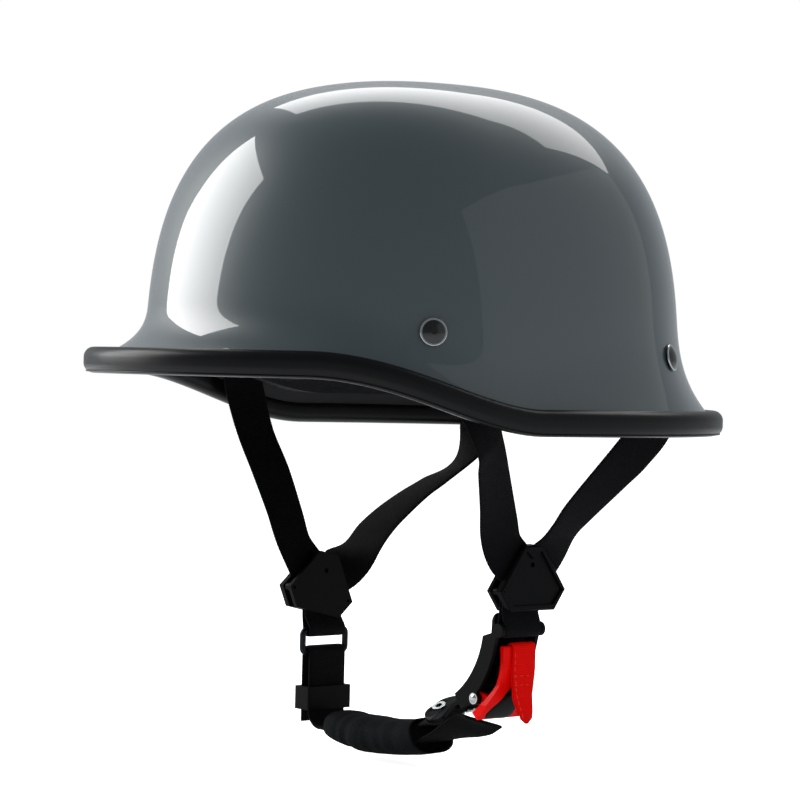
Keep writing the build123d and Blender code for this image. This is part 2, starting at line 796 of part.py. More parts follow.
eyelet -= polar_disc(eyelet_angle, eyelet_bore, eye_low - web_thickness, tooth_outer + web_thickness)
nodes["tongue_eyelet"] = chin_place(eyelet)

# Receiver
floor_outer = tongue_inner_radius - receiver_gap
floor_inner = floor_outer - receiver_floor
wall_outer = tongue_outer + receiver_wall_height - receiver_wall
inner_half = tongue_half_width + receiver_side_gap
outer_half = inner_half + receiver_wall
axle_spot = polar(axle_orbit, axle_angle)
start = receiver_start_angle
span = (start, receiver_end_angle)
receiver = side_extrude(arc_band(floor_inner, floor_outer, *span), outer_half)
cheek = arc_band(floor_inner, wall_outer, *span)
ear_foot = polar((floor_outer + wall_outer) / 2, start - ear_foot_angle)
for spot, radius in ((axle_spot, axle_ear_radius), (web_bar, web_bar_radius + ear_wall)):
    cheek += Pos(*spot) * Circle(radius)
ear = Polyline(polar(floor_inner, start), web_bar, polar(wall_outer, start - ear_foot_angle), polar(floor_inner, start))
cheek += make_face(ear.edges())
receiver += both_sides(cheek, inner_half, outer_half)
receiver += side_extrude(Pos(*web_bar) * Circle(web_bar_radius), outer_half)
bridge_low = tooth_outer + bridge_gap
receiver += side_extrude(arc_band(bridge_low, bridge_low + bridge_thickness, bridge_start_angle, bridge_end_angle), outer_half)
receiver -= side_extrude(Pos(*axle_spot) * Circle(axle_radius + axle_clearance), outer_half)
nodes["buckle_receiver"] = chin_place(receiver)

# Lever axle
axle_half = outer_half + seat_gap
axle = side_extrude(Pos(*axle_spot) * Circle(axle_radius), axle_half)
axle += both_sides(Pos(*axle_spot) * Circle(axle_head_radius), axle_half, axle_half + axle_head_height)
nodes["lever_axle"] = chin_place(axle)

# Lever
half_top = lever_top_width / 2
half_low = lever_bottom_width / 2
lever_low = lever_toe_z - lever_plate
lever_high = lever_top_z + lever_plate
shoulder_z = lever_toe_z + window_height / 2
tab_rod = (lever_top_s - lever_plate / 2, lever_top_z)
cut_radius = tab_rod_radius + tab_rod_gap + tab_layer + tab_slot_gap
lever = side_extrude(lever_profile(0), half_low)
lever += side_extrude(Pos(*tab_rod) * Circle(lever_plate / 2), half_low)
right_edge = [(half_low, lever_low), (half_low, shoulder_z), (half_top, lever_mid_z), (half_top, lever_high)]
left_edge = [(-y, z) for y, z in reversed(right_edge)]
taper = make_face(Polyline(*right_edge, *left_edge, right_edge[0]).edges())
lever &= extrude(Plane.YZ * taper, amount=2 * lever_top_s)
slot_half = tab_width / 2 + tab_slot_gap
lever -= across(Pos(*tab_rod) * Circle(cut_radius), tab_offset - slot_half, tab_offset + slot_half)
lever += side_extrude(Pos(*tab_rod) * Circle(tab_rod_radius), half_top)
lug_outer = inner_half - lug_side_gap
lug_root = polar(axle_orbit + lug_root_lift, axle_angle + lug_root_turn)
lug = Pos(*axle_spot) * Circle(axle_ear_radius)
lug += Pos(*lug_root) * Circle(axle_ear_radius)
lug = make_hull(lug.edges())
lever += both_sides(lug, lug_outer - lug_thickness, lug_outer)
pawl_bar = polar(pawl_bar_orbit, pawl_bar_angle)
lever += side_extrude(Pos(*pawl_bar) * Circle(pawl_bar_radius), lug_outer)
lever -= side_extrude(Pos(*axle_spot) * Circle(axle_radius + axle_clearance), half_low)

# Dark window set into the lever's toe
corner = window_width / 2
window_low = lever_toe_z + window_rise
corners = [(-corner, window_low), (corner, window_low), (window_lean, window_low + window_height), (-corner, window_low)]
window_shape = make_face(Polyline(*corners).edges())
window_shape = fillet(window_shape.vertices(), window_round)
skin = side_extrude(lever_profile(0), half_low) - side_extrude(lever_profile(window_depth), half_low)
column = extrude(Plane.YZ * (Pos(window_offset, 0) * window_shape), amount=2 * lever_top_s)
lever -= skin & column
insert_shape = Pos(window_offset, 0) * offset(window_shape, -window_fit)
lens = side_extrude(lever_profile(window_fit), half_low) - side_extrude(lever_profile(window_depth - window_fit), half_low)
lever_insert = lens & extrude(Plane.YZ * insert_shape, amount=2 * lever_top_s)
nodes["release_lever"] = chin_place(keep_solid(lever))
nodes["lever_insert"] = chin_place(keep_solid(lever_insert))

# Leaf pawl, from the lever's bar to a gap between two teeth
gap_share = (1 + tooth_share) / 2
pawl_angle = tongue_tip_angle - tooth_pitch_angle * (pawl_tooth + 1 - gap_share)
pawl_tip = polar(tooth_outer - tooth_height * pawl_bite_share, pawl_angle)
reach = hypot(pawl_tip[0] - pawl_bar[0], pawl_tip[1] - pawl_bar[1])
share = (pawl_bar_radius + seat_gap) / reach
pawl_foot = (pawl_bar[0] + (pawl_tip[0] - pawl_bar[0]) * share, pawl_bar[1] + (pawl_tip[1] - pawl_bar[1]) * share)
pawl = side_extrude(strip(Line(pawl_foot, pawl_tip), pawl_thickness), pawl_half_width)
nodes["pawl_leaf"] = chin_place(pawl)

# Lever return spring, coiled round the axle
coil_radius = axle_radius + coil_gap + coil_wire_radius
turns = coil_turns + coil_foot_angle / 360
helix = Helix(coil_pitch, coil_pitch * turns, coil_radius, lefthand=True)
wire_plane = Plane(helix.position_at(0), z_dir=helix.tangent_at(0))
coil = sweep(wire_plane * Circle(coil_wire_radius), path=helix, is_frenet=True)
head_way = -helix.tangent_at(0)
foot_way = helix.tangent_at(1)
coil += extrude(Plane(helix.position_at(0), z_dir=head_way) * Circle(coil_wire_radius), amount=coil_head_leg)
coil += extrude(Plane(helix.position_at(1), z_dir=foot_way) * Circle(coil_wire_radius), amount=coil_foot_leg)
coil_out = (cos(radians(axle_angle)), 0, sin(radians(axle_angle)))
coil_plane = Plane((axle_spot[0], coil_start_n, axle_spot[1]), x_dir=coil_out, z_dir=(0, -1, 0))
nodes["lever_spring"] = chin_place(coil_plane * coil)

# Pull tab, looped round the lever's rod
tab_inner = tab_rod_radius + tab_rod_gap
tab_outer = tab_inner + tab_layer
tab_loop = Pos(*tab_rod) * (Circle(tab_outer) - Circle(tab_inner))
tab_low = tab_rod[1] - tab_length
tab_strip = Pos(tab_rod[0] + tab_outer - tab_layer / 2, (tab_rod[1] + tab_low) / 2)
tab_strip *= Rectangle(tab_layer, tab_length)
second = Pos(tab_rod[0] + tab_outer + tab_layer / 2, (tab_rod[1] + tab_low) / 2 - tab_outer)
second *= Rectangle(tab_layer, tab_length - 2 * tab_outer)
tab = side_extrude(tab_loop + tab_strip + second, tab_width / 2)
half_tab = tab_width / 2
point_line = Polyline((-half_tab, lever_high + tab_outer), (half_tab, lever_high + tab_outer), (half_tab, tab_low + tab_point),
                      (0, tab_low), (-half_tab, tab_low + tab_point), (-half_tab, lever_high + tab_outer))
tab &= extrude(Plane.YZ * make_face(point_line.edges()), amount=2 * lever_top_s)
nodes["pull_tab"] = chin_place(Pos(0, tab_offset, 0) * keep_solid(tab))

for name, body in nodes.items():
    export_step(body, f"parts/{name}.step")
    print(name, len(body.solids()), round(body.volume), body.is_valid)
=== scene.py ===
from math import cos, pi, radians, sin, tan

import bmesh
import bpy
import numpy as np
from bpy.props import FloatProperty, FloatVectorProperty, IntProperty, PointerProperty
from mathutils import Matrix, Vector


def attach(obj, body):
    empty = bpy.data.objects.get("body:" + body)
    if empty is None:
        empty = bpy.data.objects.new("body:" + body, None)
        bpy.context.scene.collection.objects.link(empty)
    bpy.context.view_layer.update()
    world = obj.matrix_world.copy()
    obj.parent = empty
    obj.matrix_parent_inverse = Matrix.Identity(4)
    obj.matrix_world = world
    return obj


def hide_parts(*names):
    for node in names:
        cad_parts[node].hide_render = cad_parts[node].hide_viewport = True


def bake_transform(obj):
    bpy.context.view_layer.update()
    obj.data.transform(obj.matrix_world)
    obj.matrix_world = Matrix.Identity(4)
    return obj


bl_info = {
    "name": "Half shell helmet looks",
    "version": (1, 0, 0),
    "blender": (4, 5, 0),
    "location": "3D View > Sidebar > Helmet",
    "description": "Dresses the packed half shell helmet with its finished surfaces, webbing and padding",
    "category": "Object",
}

MM = 0.001
# Points closer than this are one
MERGE = 0.01 * MM
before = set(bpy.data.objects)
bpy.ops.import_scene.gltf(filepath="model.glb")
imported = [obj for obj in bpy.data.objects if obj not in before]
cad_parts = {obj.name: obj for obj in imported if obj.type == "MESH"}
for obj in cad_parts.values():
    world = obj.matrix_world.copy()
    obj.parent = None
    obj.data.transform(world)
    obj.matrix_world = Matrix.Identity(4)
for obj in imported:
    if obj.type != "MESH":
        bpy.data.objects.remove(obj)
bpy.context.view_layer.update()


# Sizes and colours

def length(name, description, millimetres):
    return FloatProperty(name=name, description=description, default=millimetres * MM, unit="LENGTH")


def number(name, description, value):
    return FloatProperty(name=name, description=description, default=value)


def share(name, description, value):
    return FloatProperty(name=name, description=description, default=value, min=0)


def linear(code):
    """A colour written as sRGB hex, as linear red, green and blue."""
    parts = [int(code[k:k + 2], 16) / 255 for k in (0, 2, 4)]
    return tuple(c / 12.92 if c <= 0.04045 else ((c + 0.055) / 1.055) ** 2.4 for c in parts)


def colour(name, description, code):
    return FloatVectorProperty(name=name, description=description, subtype="COLOR", size=3, min=0, max=1,
                               default=linear(code))


class HelmetShellSizes(bpy.types.PropertyGroup):
    half_width: length("Half width", "Half the dome's width at the rim, without the flare", 105.7)
    front_length: length("Front length", "From the centre to the dome's front", 119.3)
    rear_length: length("Rear length", "From the centre to the dome's rear", 128.2)
    height: length("Height", "From the nape's rim line to the crown", 152.2)
    plan_power: share("Plan power", "How square the dome is seen from above", 2.24)
    side_power: share("Side power", "How upright the wall is before it turns over", 3.2)
    crown_power: share("Crown power", "How flat the crown is", 2.8)
    front_flare: length("Front flare", "How far the brim stands out at the front", 31.0)
    side_flare: length("Side flare", "How far the skirt stands out at the ear", 10.5)
    nape_flare: length("Nape flare", "How far the skirt stands out at the nape", 23.0)
    front_skirt: length("Front skirt", "Height of the curved skirt at the front", 27.0)
    nape_skirt: length("Nape skirt", "Height of the curved skirt at the nape", 51.0)
    skirt_power: share("Skirt power", "How late the skirt turns out", 2.8)
    brow_rise: length("Brow rise", "How far the rim steps up from the ear to the brow", 22.6)
    wall: length("Wall", "Thickness of the shell", 3.2)
    edge_drop: length("Edge drop", "How far the wall reaches into the trim below the rim line", 0.6)
    trim_width: length("Trim width", "Width of the rubber trim", 9.6)
    trim_height: length("Trim height", "Height of the rubber trim", 11.7)
    trim_proud: length("Trim proud", "How far the trim stands out from the wall", 3.0)
    trim_round: length("Trim round", "Corner radius of the trim's section", 4.5)
    trim_lip: length("Trim lip", "Radius of the thin lip along the trim's lower edge", 0.45)
    spokes: IntProperty(name="Spokes", description="Mesh points round the shell", default=288, min=24)
    rings: IntProperty(name="Rings", description="Mesh rings from rim to crown", default=112, min=12)


class HelmetWebbingSizes(bpy.types.PropertyGroup):
    width: length("Width", "Width of the webbing", 22.0)
    thickness: length("Thickness", "Thickness of the webbing", 1.5)
    tab_width: length("Tab width", "Width of the red pull tab's ribbon at the fold", 13.8)
    tab_thickness: length("Tab thickness", "Thickness of one layer of the tab's ribbon", 1.1)
    stitch: length("Stitch", "Length of one stitch", 2.1)
    stitch_gap: length("Stitch gap", "From one stitch to the next", 2.9)
    thread: length("Thread", "Radius of the sewing thread", 0.28)

class HelmetColours(bpy.types.PropertyGroup):
    lacquer: colour("Lacquer", "Slate grey gloss lacquer of the shell", "3E484B")
    primer: colour("Primer", "Dark primer inside the shell", "0C0D0E")
    rubber: colour("Rubber", "Black rubber of the edge trim", "0B0B0C")
    foam: colour("Foam", "Dark bead foam of the liner", "0F1011")
    pad: colour("Pad", "Black knit of the comfort pads", "0D0E0F")
    enamel: colour("Enamel", "Black enamel of the rivet caps", "070708")
    steel: colour("Steel", "Nickel plate of the rings, rivets and axle", "C9CBCC")
    dark_steel: colour("Dark steel", "Blackened wire, spring and pawl", "2A2B2D")
    webbing: colour("Webbing", "Black polyester webbing", "0B0B0C")
    tab: colour("Tab", "Red woven ribbon", "FA0804")
    sleeve: colour("Sleeve", "Dark grey cloth of the chin sleeve", "111213")
    plastic: colour("Plastic", "Black moulded nylon", "0B0B0C")
    lever: colour("Lever", "Red moulded lever", "F50602")
    insert: colour("Insert", "Black shield in the lever's face", "0B0B0C")
    red_thread: colour("Red thread", "Red sewing thread of the pull tab", "FF3A2A")


class HelmetStageSettings(bpy.types.PropertyGroup):
    azimuth: number("Azimuth", "Camera's turn about Z, in degrees", 60.04)
    elevation: number("Elevation", "Camera's height angle, in degrees", 1.02)
    distance: length("Distance", "From the camera to the helmet's origin", 1289.8)
    roll: number("Roll", "Camera's roll, in degrees", 1.38)
    lens: number("Lens", "Focal length in millimetres", 125.95)
    sensor: number("Sensor", "Width of the camera's sensor in millimetres", 36)
    target_side: length("Target side", "How far right of the origin the camera looks", -3.28)
    target_height: length("Target height", "How far above the origin the camera looks", 7.39)
    offset: length("Offset", "How far the camera stands off its arc, along Y", 1.38)
    floor_height: length("Floor", "Height of the floor", -161.5)
    floor_glow: share("Floor glow", "How bright the paper floor looks without the lamps", 0.85)
    air: share("Air", "Brightness of the even light from all round", 0.62)
    room_dark: share("Dark room", "Brightness of the room behind the camera, as mirrored", 0.2)
    backdrop: share("Backdrop", "Brightness of the white backdrop, as mirrored", 0.5)


# Materials

def add(tree, kind, inputs=None, feeds=None, **settings):
    """Adds one node with its settings. Its inputs are values or (node, output) links, and feeds is the
    (output, node, input) that it is led to."""
    node = tree.nodes.new(kind)
    for name, value in settings.items():
        setattr(node, name, value)
    for socket, value in (inputs or {}).items():
        if isinstance(value, tuple) and isinstance(value[0], bpy.types.Node):
            tree.links.new(value[0].outputs[value[1]], node.inputs[socket])
        else:
            node.inputs[socket].default_value = value
    if feeds:
        output, target, socket = feeds
        tree.links.new(node.outputs[output], target.inputs[socket])
    return node


def new_material(name, base, **shader):
    """A material with one surface shader, whose constants are on the shader's own sockets."""
    material = bpy.data.materials.new(name)
    material.use_nodes = True
    tree = material.node_tree
    surface = tree.nodes["Principled BSDF"]
    surface.inputs["Base Color"].default_value = (*base, 1)
    for socket, value in shader.items():
        surface.inputs[socket.replace("_", " ")].default_value = value
    material.diffuse_color = (*base, 1)
    return material, tree, surface


def per(size):
    """A pattern's scale, from the size of its marks in millimetres."""
    return 1 / (size * MM)


def tint(base, amount):
    return (*(min(1, c * amount) for c in base), 1)


def lacquer_material(name, base):
    """A clear coat with the faint waves of a sprayed film, over a colour that clouds a little."""
    material, tree, surface = new_material(name, base, Roughness=0.42, IOR=1.5, Coat_Weight=1.0,
                                           Coat_Roughness=0.015, Coat_IOR=1.52)
    place = add(tree, "ShaderNodeTexCoord")
    waves = add(tree, "ShaderNodeTexNoise", {"Vector": (place, "Object"), "Scale": per(11.1), "Detail": 1.0})
    add(tree, "ShaderNodeBump", {"Height": (waves, 0), "Strength": 0.012, "Distance": 0.6 * MM},
        feeds=(0, surface, "Coat Normal"))
    cloud = add(tree, "ShaderNodeTexNoise", {"Vector": (place, "Object"), "Scale": per(71.4), "Detail": 2.0})
    add(tree, "ShaderNodeMix", {0: (cloud, 0), 6: tint(base, 0.97), 7: tint(base, 1.03)},
        feeds=(2, surface, "Base Color"), data_type="RGBA")
    return material


def grain_material(name, base, roughness, grain, depth, spread=0.06, detail=3.0, **shader):
    """A surface with a fine grain and uneven handling marks. Grain and depth are in millimetres, and the
    finest grains are drawn coarser than real ones, which would not show."""
    material, tree, surface = new_material(name, base, Roughness=roughness, **shader)
    place = add(tree, "ShaderNodeTexCoord")
    marks = add(tree, "ShaderNodeTexNoise",
                {"Vector": (place, "Object"), "Scale": per(grain), "Detail": detail, "Roughness": 0.6})
    add(tree, "ShaderNodeBump", {"Height": (marks, 0), "Strength": 0.35, "Distance": depth * MM},
        feeds=(0, surface, "Normal"))
    wear = add(tree, "ShaderNodeTexNoise", {"Vector": (place, "Object"), "Scale": per(16.7), "Detail": 2.0})
    add(tree, "ShaderNodeMapRange",
        {"Value": (wear, 0), "To Min": roughness - spread, "To Max": roughness + spread},
        feeds=(0, surface, "Roughness"))
    add(tree, "ShaderNodeMix", {0: (marks, 0), 6: tint(base, 0.85), 7: tint(base, 1.15)},
        feeds=(2, surface, "Base Color"), data_type="RGBA")
    return material


def metal_material(name, base, roughness):
    """Metal with rubbing marks about a millimetre across, coarser than real ones, which would not show."""
    material, tree, surface = new_material(name, base, Metallic=1.0, Roughness=roughness)
    place = add(tree, "ShaderNodeTexCoord")
    marks = add(tree, "ShaderNodeTexNoise", {"Vector": (place, "Object"), "Scale": per(1.11), "Detail": 3.0})
    add(tree, "ShaderNodeMapRange",
        {"Value": (marks, 0), "To Min": roughness * 0.7, "To Max": roughness * 1.4},
        feeds=(0, surface, "Roughness"))
    add(tree, "ShaderNodeBump", {"Height": (marks, 0), "Strength": 0.05, "Distance": 0.05 * MM},
        feeds=(0, surface, "Normal"))
    return material


# The colour is painted shade and painted highlight: darker by the dark share in the weave's hollows, lighter
# by the light share on its knuckles
def weave_material(name, base, warp, weft, depth, dark=0.55, light=1.9, sheen=0.015):
    """Warp ribs along the strap, crossed by weft picks. Spacings and depth are in millimetres, like the
    piece's own UV map. The real weave is about half as coarse, and would not show."""
    material, tree, surface = new_material(name, base, Roughness=0.72, Sheen_Weight=sheen,
                                           Sheen_Roughness=0.4, Specular_IOR_Level=0.05)
    uv = add(tree, "ShaderNodeUVMap", uv_map="weave")
    split = add(tree, "ShaderNodeSeparateXYZ", {0: (uv, 0)})
    place = add(tree, "ShaderNodeTexCoord")
    fuzz = add(tree, "ShaderNodeTexNoise", {"Vector": (place, "Object"), "Scale": per(0.455), "Detail": 2.0})
    made = {"across": (split, 0), "along": (split, 1), "fuzz": (fuzz, 0)}
    for result, operation, *values in (
            ("ribs", "MULTIPLY", "across", pi / warp),
            ("picks", "DIVIDE", "along", weft),
            ("row", "FLOOR", "picks"),
            ("half turn", "MULTIPLY", "row", pi / 2),
            ("shifted", "ADD", "ribs", "half turn"),
            ("rib wave", "SINE", "shifted"),
            ("rib", "ABSOLUTE", "rib wave"),
            ("pick turn", "MULTIPLY", "picks", pi),
            ("pick wave", "SINE", "pick turn"),
            ("pick", "ABSOLUTE", "pick wave"),
            ("knuckle", "MULTIPLY", "rib", "pick"),
            ("height", "POWER", "knuckle", 0.5),
            ("fuzzy", "MULTIPLY_ADD", "fuzz", 0.35, "height")):
        inputs = {k: made.get(value, value) for k, value in enumerate(values)}
        made[result] = (add(tree, "ShaderNodeMath", inputs, operation=operation), 0)
    add(tree, "ShaderNodeBump", {"Height": made["fuzzy"], "Strength": 0.8, "Distance": depth * MM},
        feeds=(0, surface, "Normal"))
    # Painted shade in the weave's hollows and a painted highlight on its knuckles, by the height of the weave
    add(tree, "ShaderNodeMix", {0: made["height"], 6: tint(base, dark), 7: tint(base, light)},
        feeds=(2, surface, "Base Color"), data_type="RGBA")
    return material


def foam_material(name, base):
    """Closed cells a few millimetres across, with darker seams between them."""
    material, tree, surface = new_material(name, base, Roughness=0.8)
    place = add(tree, "ShaderNodeTexCoord")
    cells = add(tree, "ShaderNodeTexVoronoi", {"Vector": (place, "Object"), "Scale": per(3.5)},
                feature="DISTANCE_TO_EDGE")
    seam = add(tree, "ShaderNodeMapRange", {"Value": (cells, 0), "From Max": 0.12})
    add(tree, "ShaderNodeBump", {"Height": (seam, 0), "Strength": 0.5, "Distance": 0.25 * MM},
        feeds=(0, surface, "Normal"))
    add(tree, "ShaderNodeMix", {0: (seam, 0), 6: tint(base, 0.6), 7: tint(base, 1.1)},
        feeds=(2, surface, "Base Color"), data_type="RGBA")
    return material


def cloth_material(name, base, yarn, roughness=0.9, sheen=0.5):
    """Cloth over padding, on Object coordinates because a pad has no seamless map. The yarn is in
    millimetres, and its nap is drawn coarser than a real one, which would not show."""
    material, tree, surface = new_material(name, base, Roughness=roughness, Sheen_Weight=sheen,
                                           Sheen_Roughness=0.5, Specular_IOR_Level=0.05)
    place = add(tree, "ShaderNodeTexCoord")
    knit = add(tree, "ShaderNodeTexVoronoi", {"Vector": (place, "Object"), "Scale": per(yarn)})
    nap = add(tree, "ShaderNodeTexNoise", {"Vector": (place, "Object"), "Scale": per(0.833), "Detail": 3.0})
    both = add(tree, "ShaderNodeMath", {0: (knit, 0), 1: (nap, 0)}, operation="ADD")
    add(tree, "ShaderNodeBump", {"Height": (both, 0), "Strength": 0.5, "Distance": yarn * 0.35 * MM},
        feeds=(0, surface, "Normal"))
    add(tree, "ShaderNodeMix", {0: (knit, 0), 6: tint(base, 1.5), 7: tint(base, 0.7)},
        feeds=(2, surface, "Base Color"), data_type="RGBA")
    return material


# Each finish, under the name of its colour: its maker, the material's name and its settings
FINISHES = {
    # Two-pack lacquer, sprayed over glass fibre and polished: mirror bright, deep and slate grey
    "lacquer": (lacquer_material, "gloss_lacquer_sprayed", {}),
    # Primer, sprayed and left as it dries: flat and dark, with no highlight
    "primer": (grain_material, "matte_primer_sprayed", {"roughness": 0.7, "grain": 0.8, "depth": 0.03}),
    # EPDM rubber, extruded: a soft, broad highlight along the bead
    "rubber": (grain_material, "epdm_rubber_extruded",
               {"roughness": 0.34, "grain": 0.7, "depth": 0.02, "Specular_IOR_Level": 0.22}),
    # Bead foam, moulded: dull, with its cells just to be seen
    "foam": (foam_material, "bead_foam_moulded", {}),
    # Brushed knit, sewn over padding: a soft nap, a little lighter where it turns away
    "pad": (cloth_material, "brushed_knit_sewn", {"yarn": 1.1, "sheen": 0.08}),
    # Enamel, baked on a pressed steel cap: black, with a clear small glint
    "enamel": (grain_material, "enamelled_steel_cap",
               {"roughness": 0.28, "grain": 1.5, "depth": 0.01, "Coat_Weight": 0.5}),
    # Nickel, plated on steel: bright and pale, with faint rubbing marks
    "steel": (metal_material, "nickel_plated_steel", {"roughness": 0.2}),
    # Steel, drawn and blackened: dark, with a blurred grey highlight
    "dark_steel": (metal_material, "blackened_steel_wire", {"roughness": 0.38}),
    # Polyester, woven as strong webbing: coarse dull ribs that break up the light, with painted shade in
    # their hollows and a painted highlight on their knuckles
    "webbing": (weave_material, "polyester_webbing_woven", {"warp": 1.1, "weft": 0.8, "depth": 0.22}),
    # Polyester, woven as ribbon: finer ribs and a full, even red, with fainter painted shade in their hollows
    # and painted highlight on their knuckles
    "tab": (weave_material, "polyester_ribbon_woven",
            {"warp": 0.9, "weft": 0.7, "depth": 0.16, "dark": 0.75, "light": 1.15, "sheen": 0.0}),
    # Ripstop cloth, sewn round the chin web: dull, so that only its folds shade it
    "sleeve": (cloth_material, "ripstop_sleeve_sewn", {"yarn": 0.9, "roughness": 0.8, "sheen": 0.0}),
    # Nylon, moulded with a spark-eroded grain: an even black satin
    "plastic": (grain_material, "nylon_moulded_satin",
                {"roughness": 0.38, "grain": 0.5, "depth": 0.02, "Specular_IOR_Level": 0.06}),
    # ABS, moulded in a polished mould: smooth and strong red, with slow waves in its highlight
    "lever": (grain_material, "abs_moulded_gloss",
              {"roughness": 0.25, "grain": 4, "depth": 0.01, "spread": 0.03, "detail": 1.0,
               "Specular_IOR_Level": 0.06}),
    # ABS, moulded smooth and pressed into the lever: black, with a thin shine
    "insert": (grain_material, "abs_moulded_black",
               {"roughness": 0.3, "grain": 0.6, "depth": 0.01, "Specular_IOR_Level": 0.1}),
    # Bonded polyester thread: a lighter red than the ribbon, round and dull
    "red_thread": (cloth_material, "bonded_thread_red", {"yarn": 0.4, "roughness": 0.6, "sheen": 0.0}),
}
finishes = {}


def finish_of(name):
    """The material of that finish, made when it is first asked for."""
    if name not in finishes:
        maker, title, settings = FINISHES[name]
        finishes[name] = maker(title, getattr(bpy.context.scene.helmet_colours, name), **settings)
    return finishes[name]


# Mesh helpers

def new_piece(name, data):
    """A new object at the origin that holds the given mesh, curve, lamp or camera."""
    piece = bpy.data.objects.new(name, data)
    bpy.context.scene.collection.objects.link(piece)
    return piece


def mesh_piece(name, points, faces, finish):
    """A new smooth piece, with its place in its mesh."""
    mesh = bpy.data.meshes.new(name)
    mesh.from_pydata([tuple(p) for p in points], [], faces)
    mesh.update()
    mesh.shade_smooth()
    mesh.materials.append(finish_of(finish))
    return new_piece(name, mesh)


def ring_faces(rows, columns, start=0):
    """Quads between rows of points, each of which closes on itself."""
    return [(row + c, row + (c + 1) % columns, row + columns + (c + 1) % columns, row + columns + c)
            for row in range(start, start + (rows - 1) * columns, columns) for c in range(columns)]


def closed_faces(rows, columns, start=0):
    """The same quads, and a face over each end."""
    last = start + (rows - 1) * columns
    return [*ring_faces(rows, columns, start), tuple(range(start, start + columns))[::-1],
            tuple(range(last, last + columns))]


def recalculate(piece, merge=0.0):
    """Merges doubles, then turns all faces outwards."""
    form = bmesh.new()
    form.from_mesh(piece.data)
    if merge:
        bmesh.ops.remove_doubles(form, verts=form.verts, dist=merge)
    bmesh.ops.recalc_face_normals(form, faces=form.faces)
    form.to_mesh(piece.data)
    form.free()


def points_of(piece):
    return np.array([vertex.co for vertex in piece.data.vertices])


def move_points(piece, spots):
    piece.data.vertices.foreach_set("co", spots.astype(np.float32).ravel())
    piece.data.update()


def made_mesh(piece):
    """What a piece's modifiers make of it, as a plain mesh."""
    graph = bpy.context.evaluated_depsgraph_get()
    return bpy.data.meshes.new_from_object(piece.evaluated_get(graph))


def keep_modifiers(piece):
    """Makes what the modifiers show the piece's own mesh."""
    mesh = made_mesh(piece)
    piece.modifiers.clear()
    piece.data = mesh


def dress(piece, body, slot, *nodes):
    """Puts a piece on its body and lets it stand for its solids. The slot is not used."""
    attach(piece, body)
    if nodes:
        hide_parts(*nodes)


def repaint(finish, *nodes):
    """Gives carried-over solids their finish."""
    for node in nodes:
        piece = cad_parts[node]
        piece.data.materials.clear()
        piece.data.materials.append(finish_of(finish))


def copied_mesh(node, name, finish):
    """A merged copy of a solid's mesh, as a new piece."""
    piece = new_piece(name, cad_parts[node].data.copy())
    piece.data.materials.clear()
    piece.data.materials.append(finish_of(finish))
    recalculate(piece, merge=MERGE)
    return piece


# Lines and ribbons

# A ribbon's section: its points, how flat its faces and how rolled its edges are, and the spacing of the
# picks that push its edge in and out
RIBBON_SECTION, RIBBON_FLAT, RIBBON_ROLL, PICK_STEP = 32, 0.24, 0.5, 1.6 * MM


def unit(vectors):
    return vectors / np.maximum(np.linalg.norm(vectors, axis=-1, keepdims=True), 1e-12)


def walked(points):
    """How far along a line each of its points is."""
    return np.concatenate(([0], np.cumsum(np.linalg.norm(np.diff(points, axis=0), axis=1))))


def blunt(wave, power):
    """A sine or cosine that turns squarer as the power falls."""
    return np.sign(wave) * np.abs(wave) ** power


def ease(t):
    t = np.clip(t, 0, 1)
    return t * t * (3 - 2 * t)


def hermite(u, start, end, leave, arrive):
    """From start to end as u goes from 0 to 1, leaving and arriving with the given slopes."""
    return ((2 * u**3 - 3 * u**2 + 1) * start + (u**3 - 2 * u**2 + u) * leave
            + (3 * u**2 - 2 * u**3) * end + (u**3 - u**2) * arrive)


def through_keys(keys, count, fine_steps=40):
    """Points at even steps along a smooth line through keys, with each key's other values blended alike."""
    keys = np.array(keys, float)
    gaps = np.linalg.norm(np.diff(keys[:, :3], axis=0), axis=1) ** 0.5
    knots = np.concatenate(([0], np.cumsum(gaps)))
    slopes = np.zeros_like(keys)
    slopes[1:-1] = (keys[2:] - keys[:-2]) / (knots[2:] - knots[:-2])[:, None]
    slopes[0] = (keys[1] - keys[0]) / (knots[1] - knots[0])
    slopes[-1] = (keys[-1] - keys[-2]) / (knots[-1] - knots[-2])
    t = np.linspace(0, knots[-1], fine_steps * len(keys))
    k = np.clip(np.searchsorted(knots, t, side="right") - 1, 0, len(knots) - 2)
    span = (knots[k + 1] - knots[k])[:, None]
    u = (t - knots[k])[:, None] / span
    fine = hermite(u, keys[k], keys[k + 1], slopes[k] * span, slopes[k + 1] * span)
    walk = walked(fine[:, :3])
    at = np.linspace(0, walk[-1], count)
    return np.stack([np.interp(at, walk, column) for column in fine.T], 1)


def thin_out(points, step=0.9 * MM):
    """The same line at even steps."""
    points = np.array(points)
    keep = np.concatenate(([True], np.linalg.norm(np.diff(points, axis=0), axis=1) > 1e-7))
    points = points[keep]
    walk = walked(points)
    at = np.linspace(0, walk[-1], max(int(walk[-1] / step), 8))
    return np.stack([np.interp(at, walk, column) for column in points.T], 1)


def arc_points(centre, radius, start, end, count):
    turns = np.radians(np.linspace(start, end, count))
    return [(centre[0] + radius * cos(t), centre[1] + radius * sin(t)) for t in turns]


def eased(start, end, start_way, end_way, count):
    """A smooth line between two (s, z) places with given ways."""
    reach = np.hypot(end[0] - start[0], end[1] - start[1])
    t = np.linspace(0, 1, count)[:, None]
    return list(map(tuple, hermite(t, start, end, np.array(start_way) * reach, np.array(end_way) * reach)))


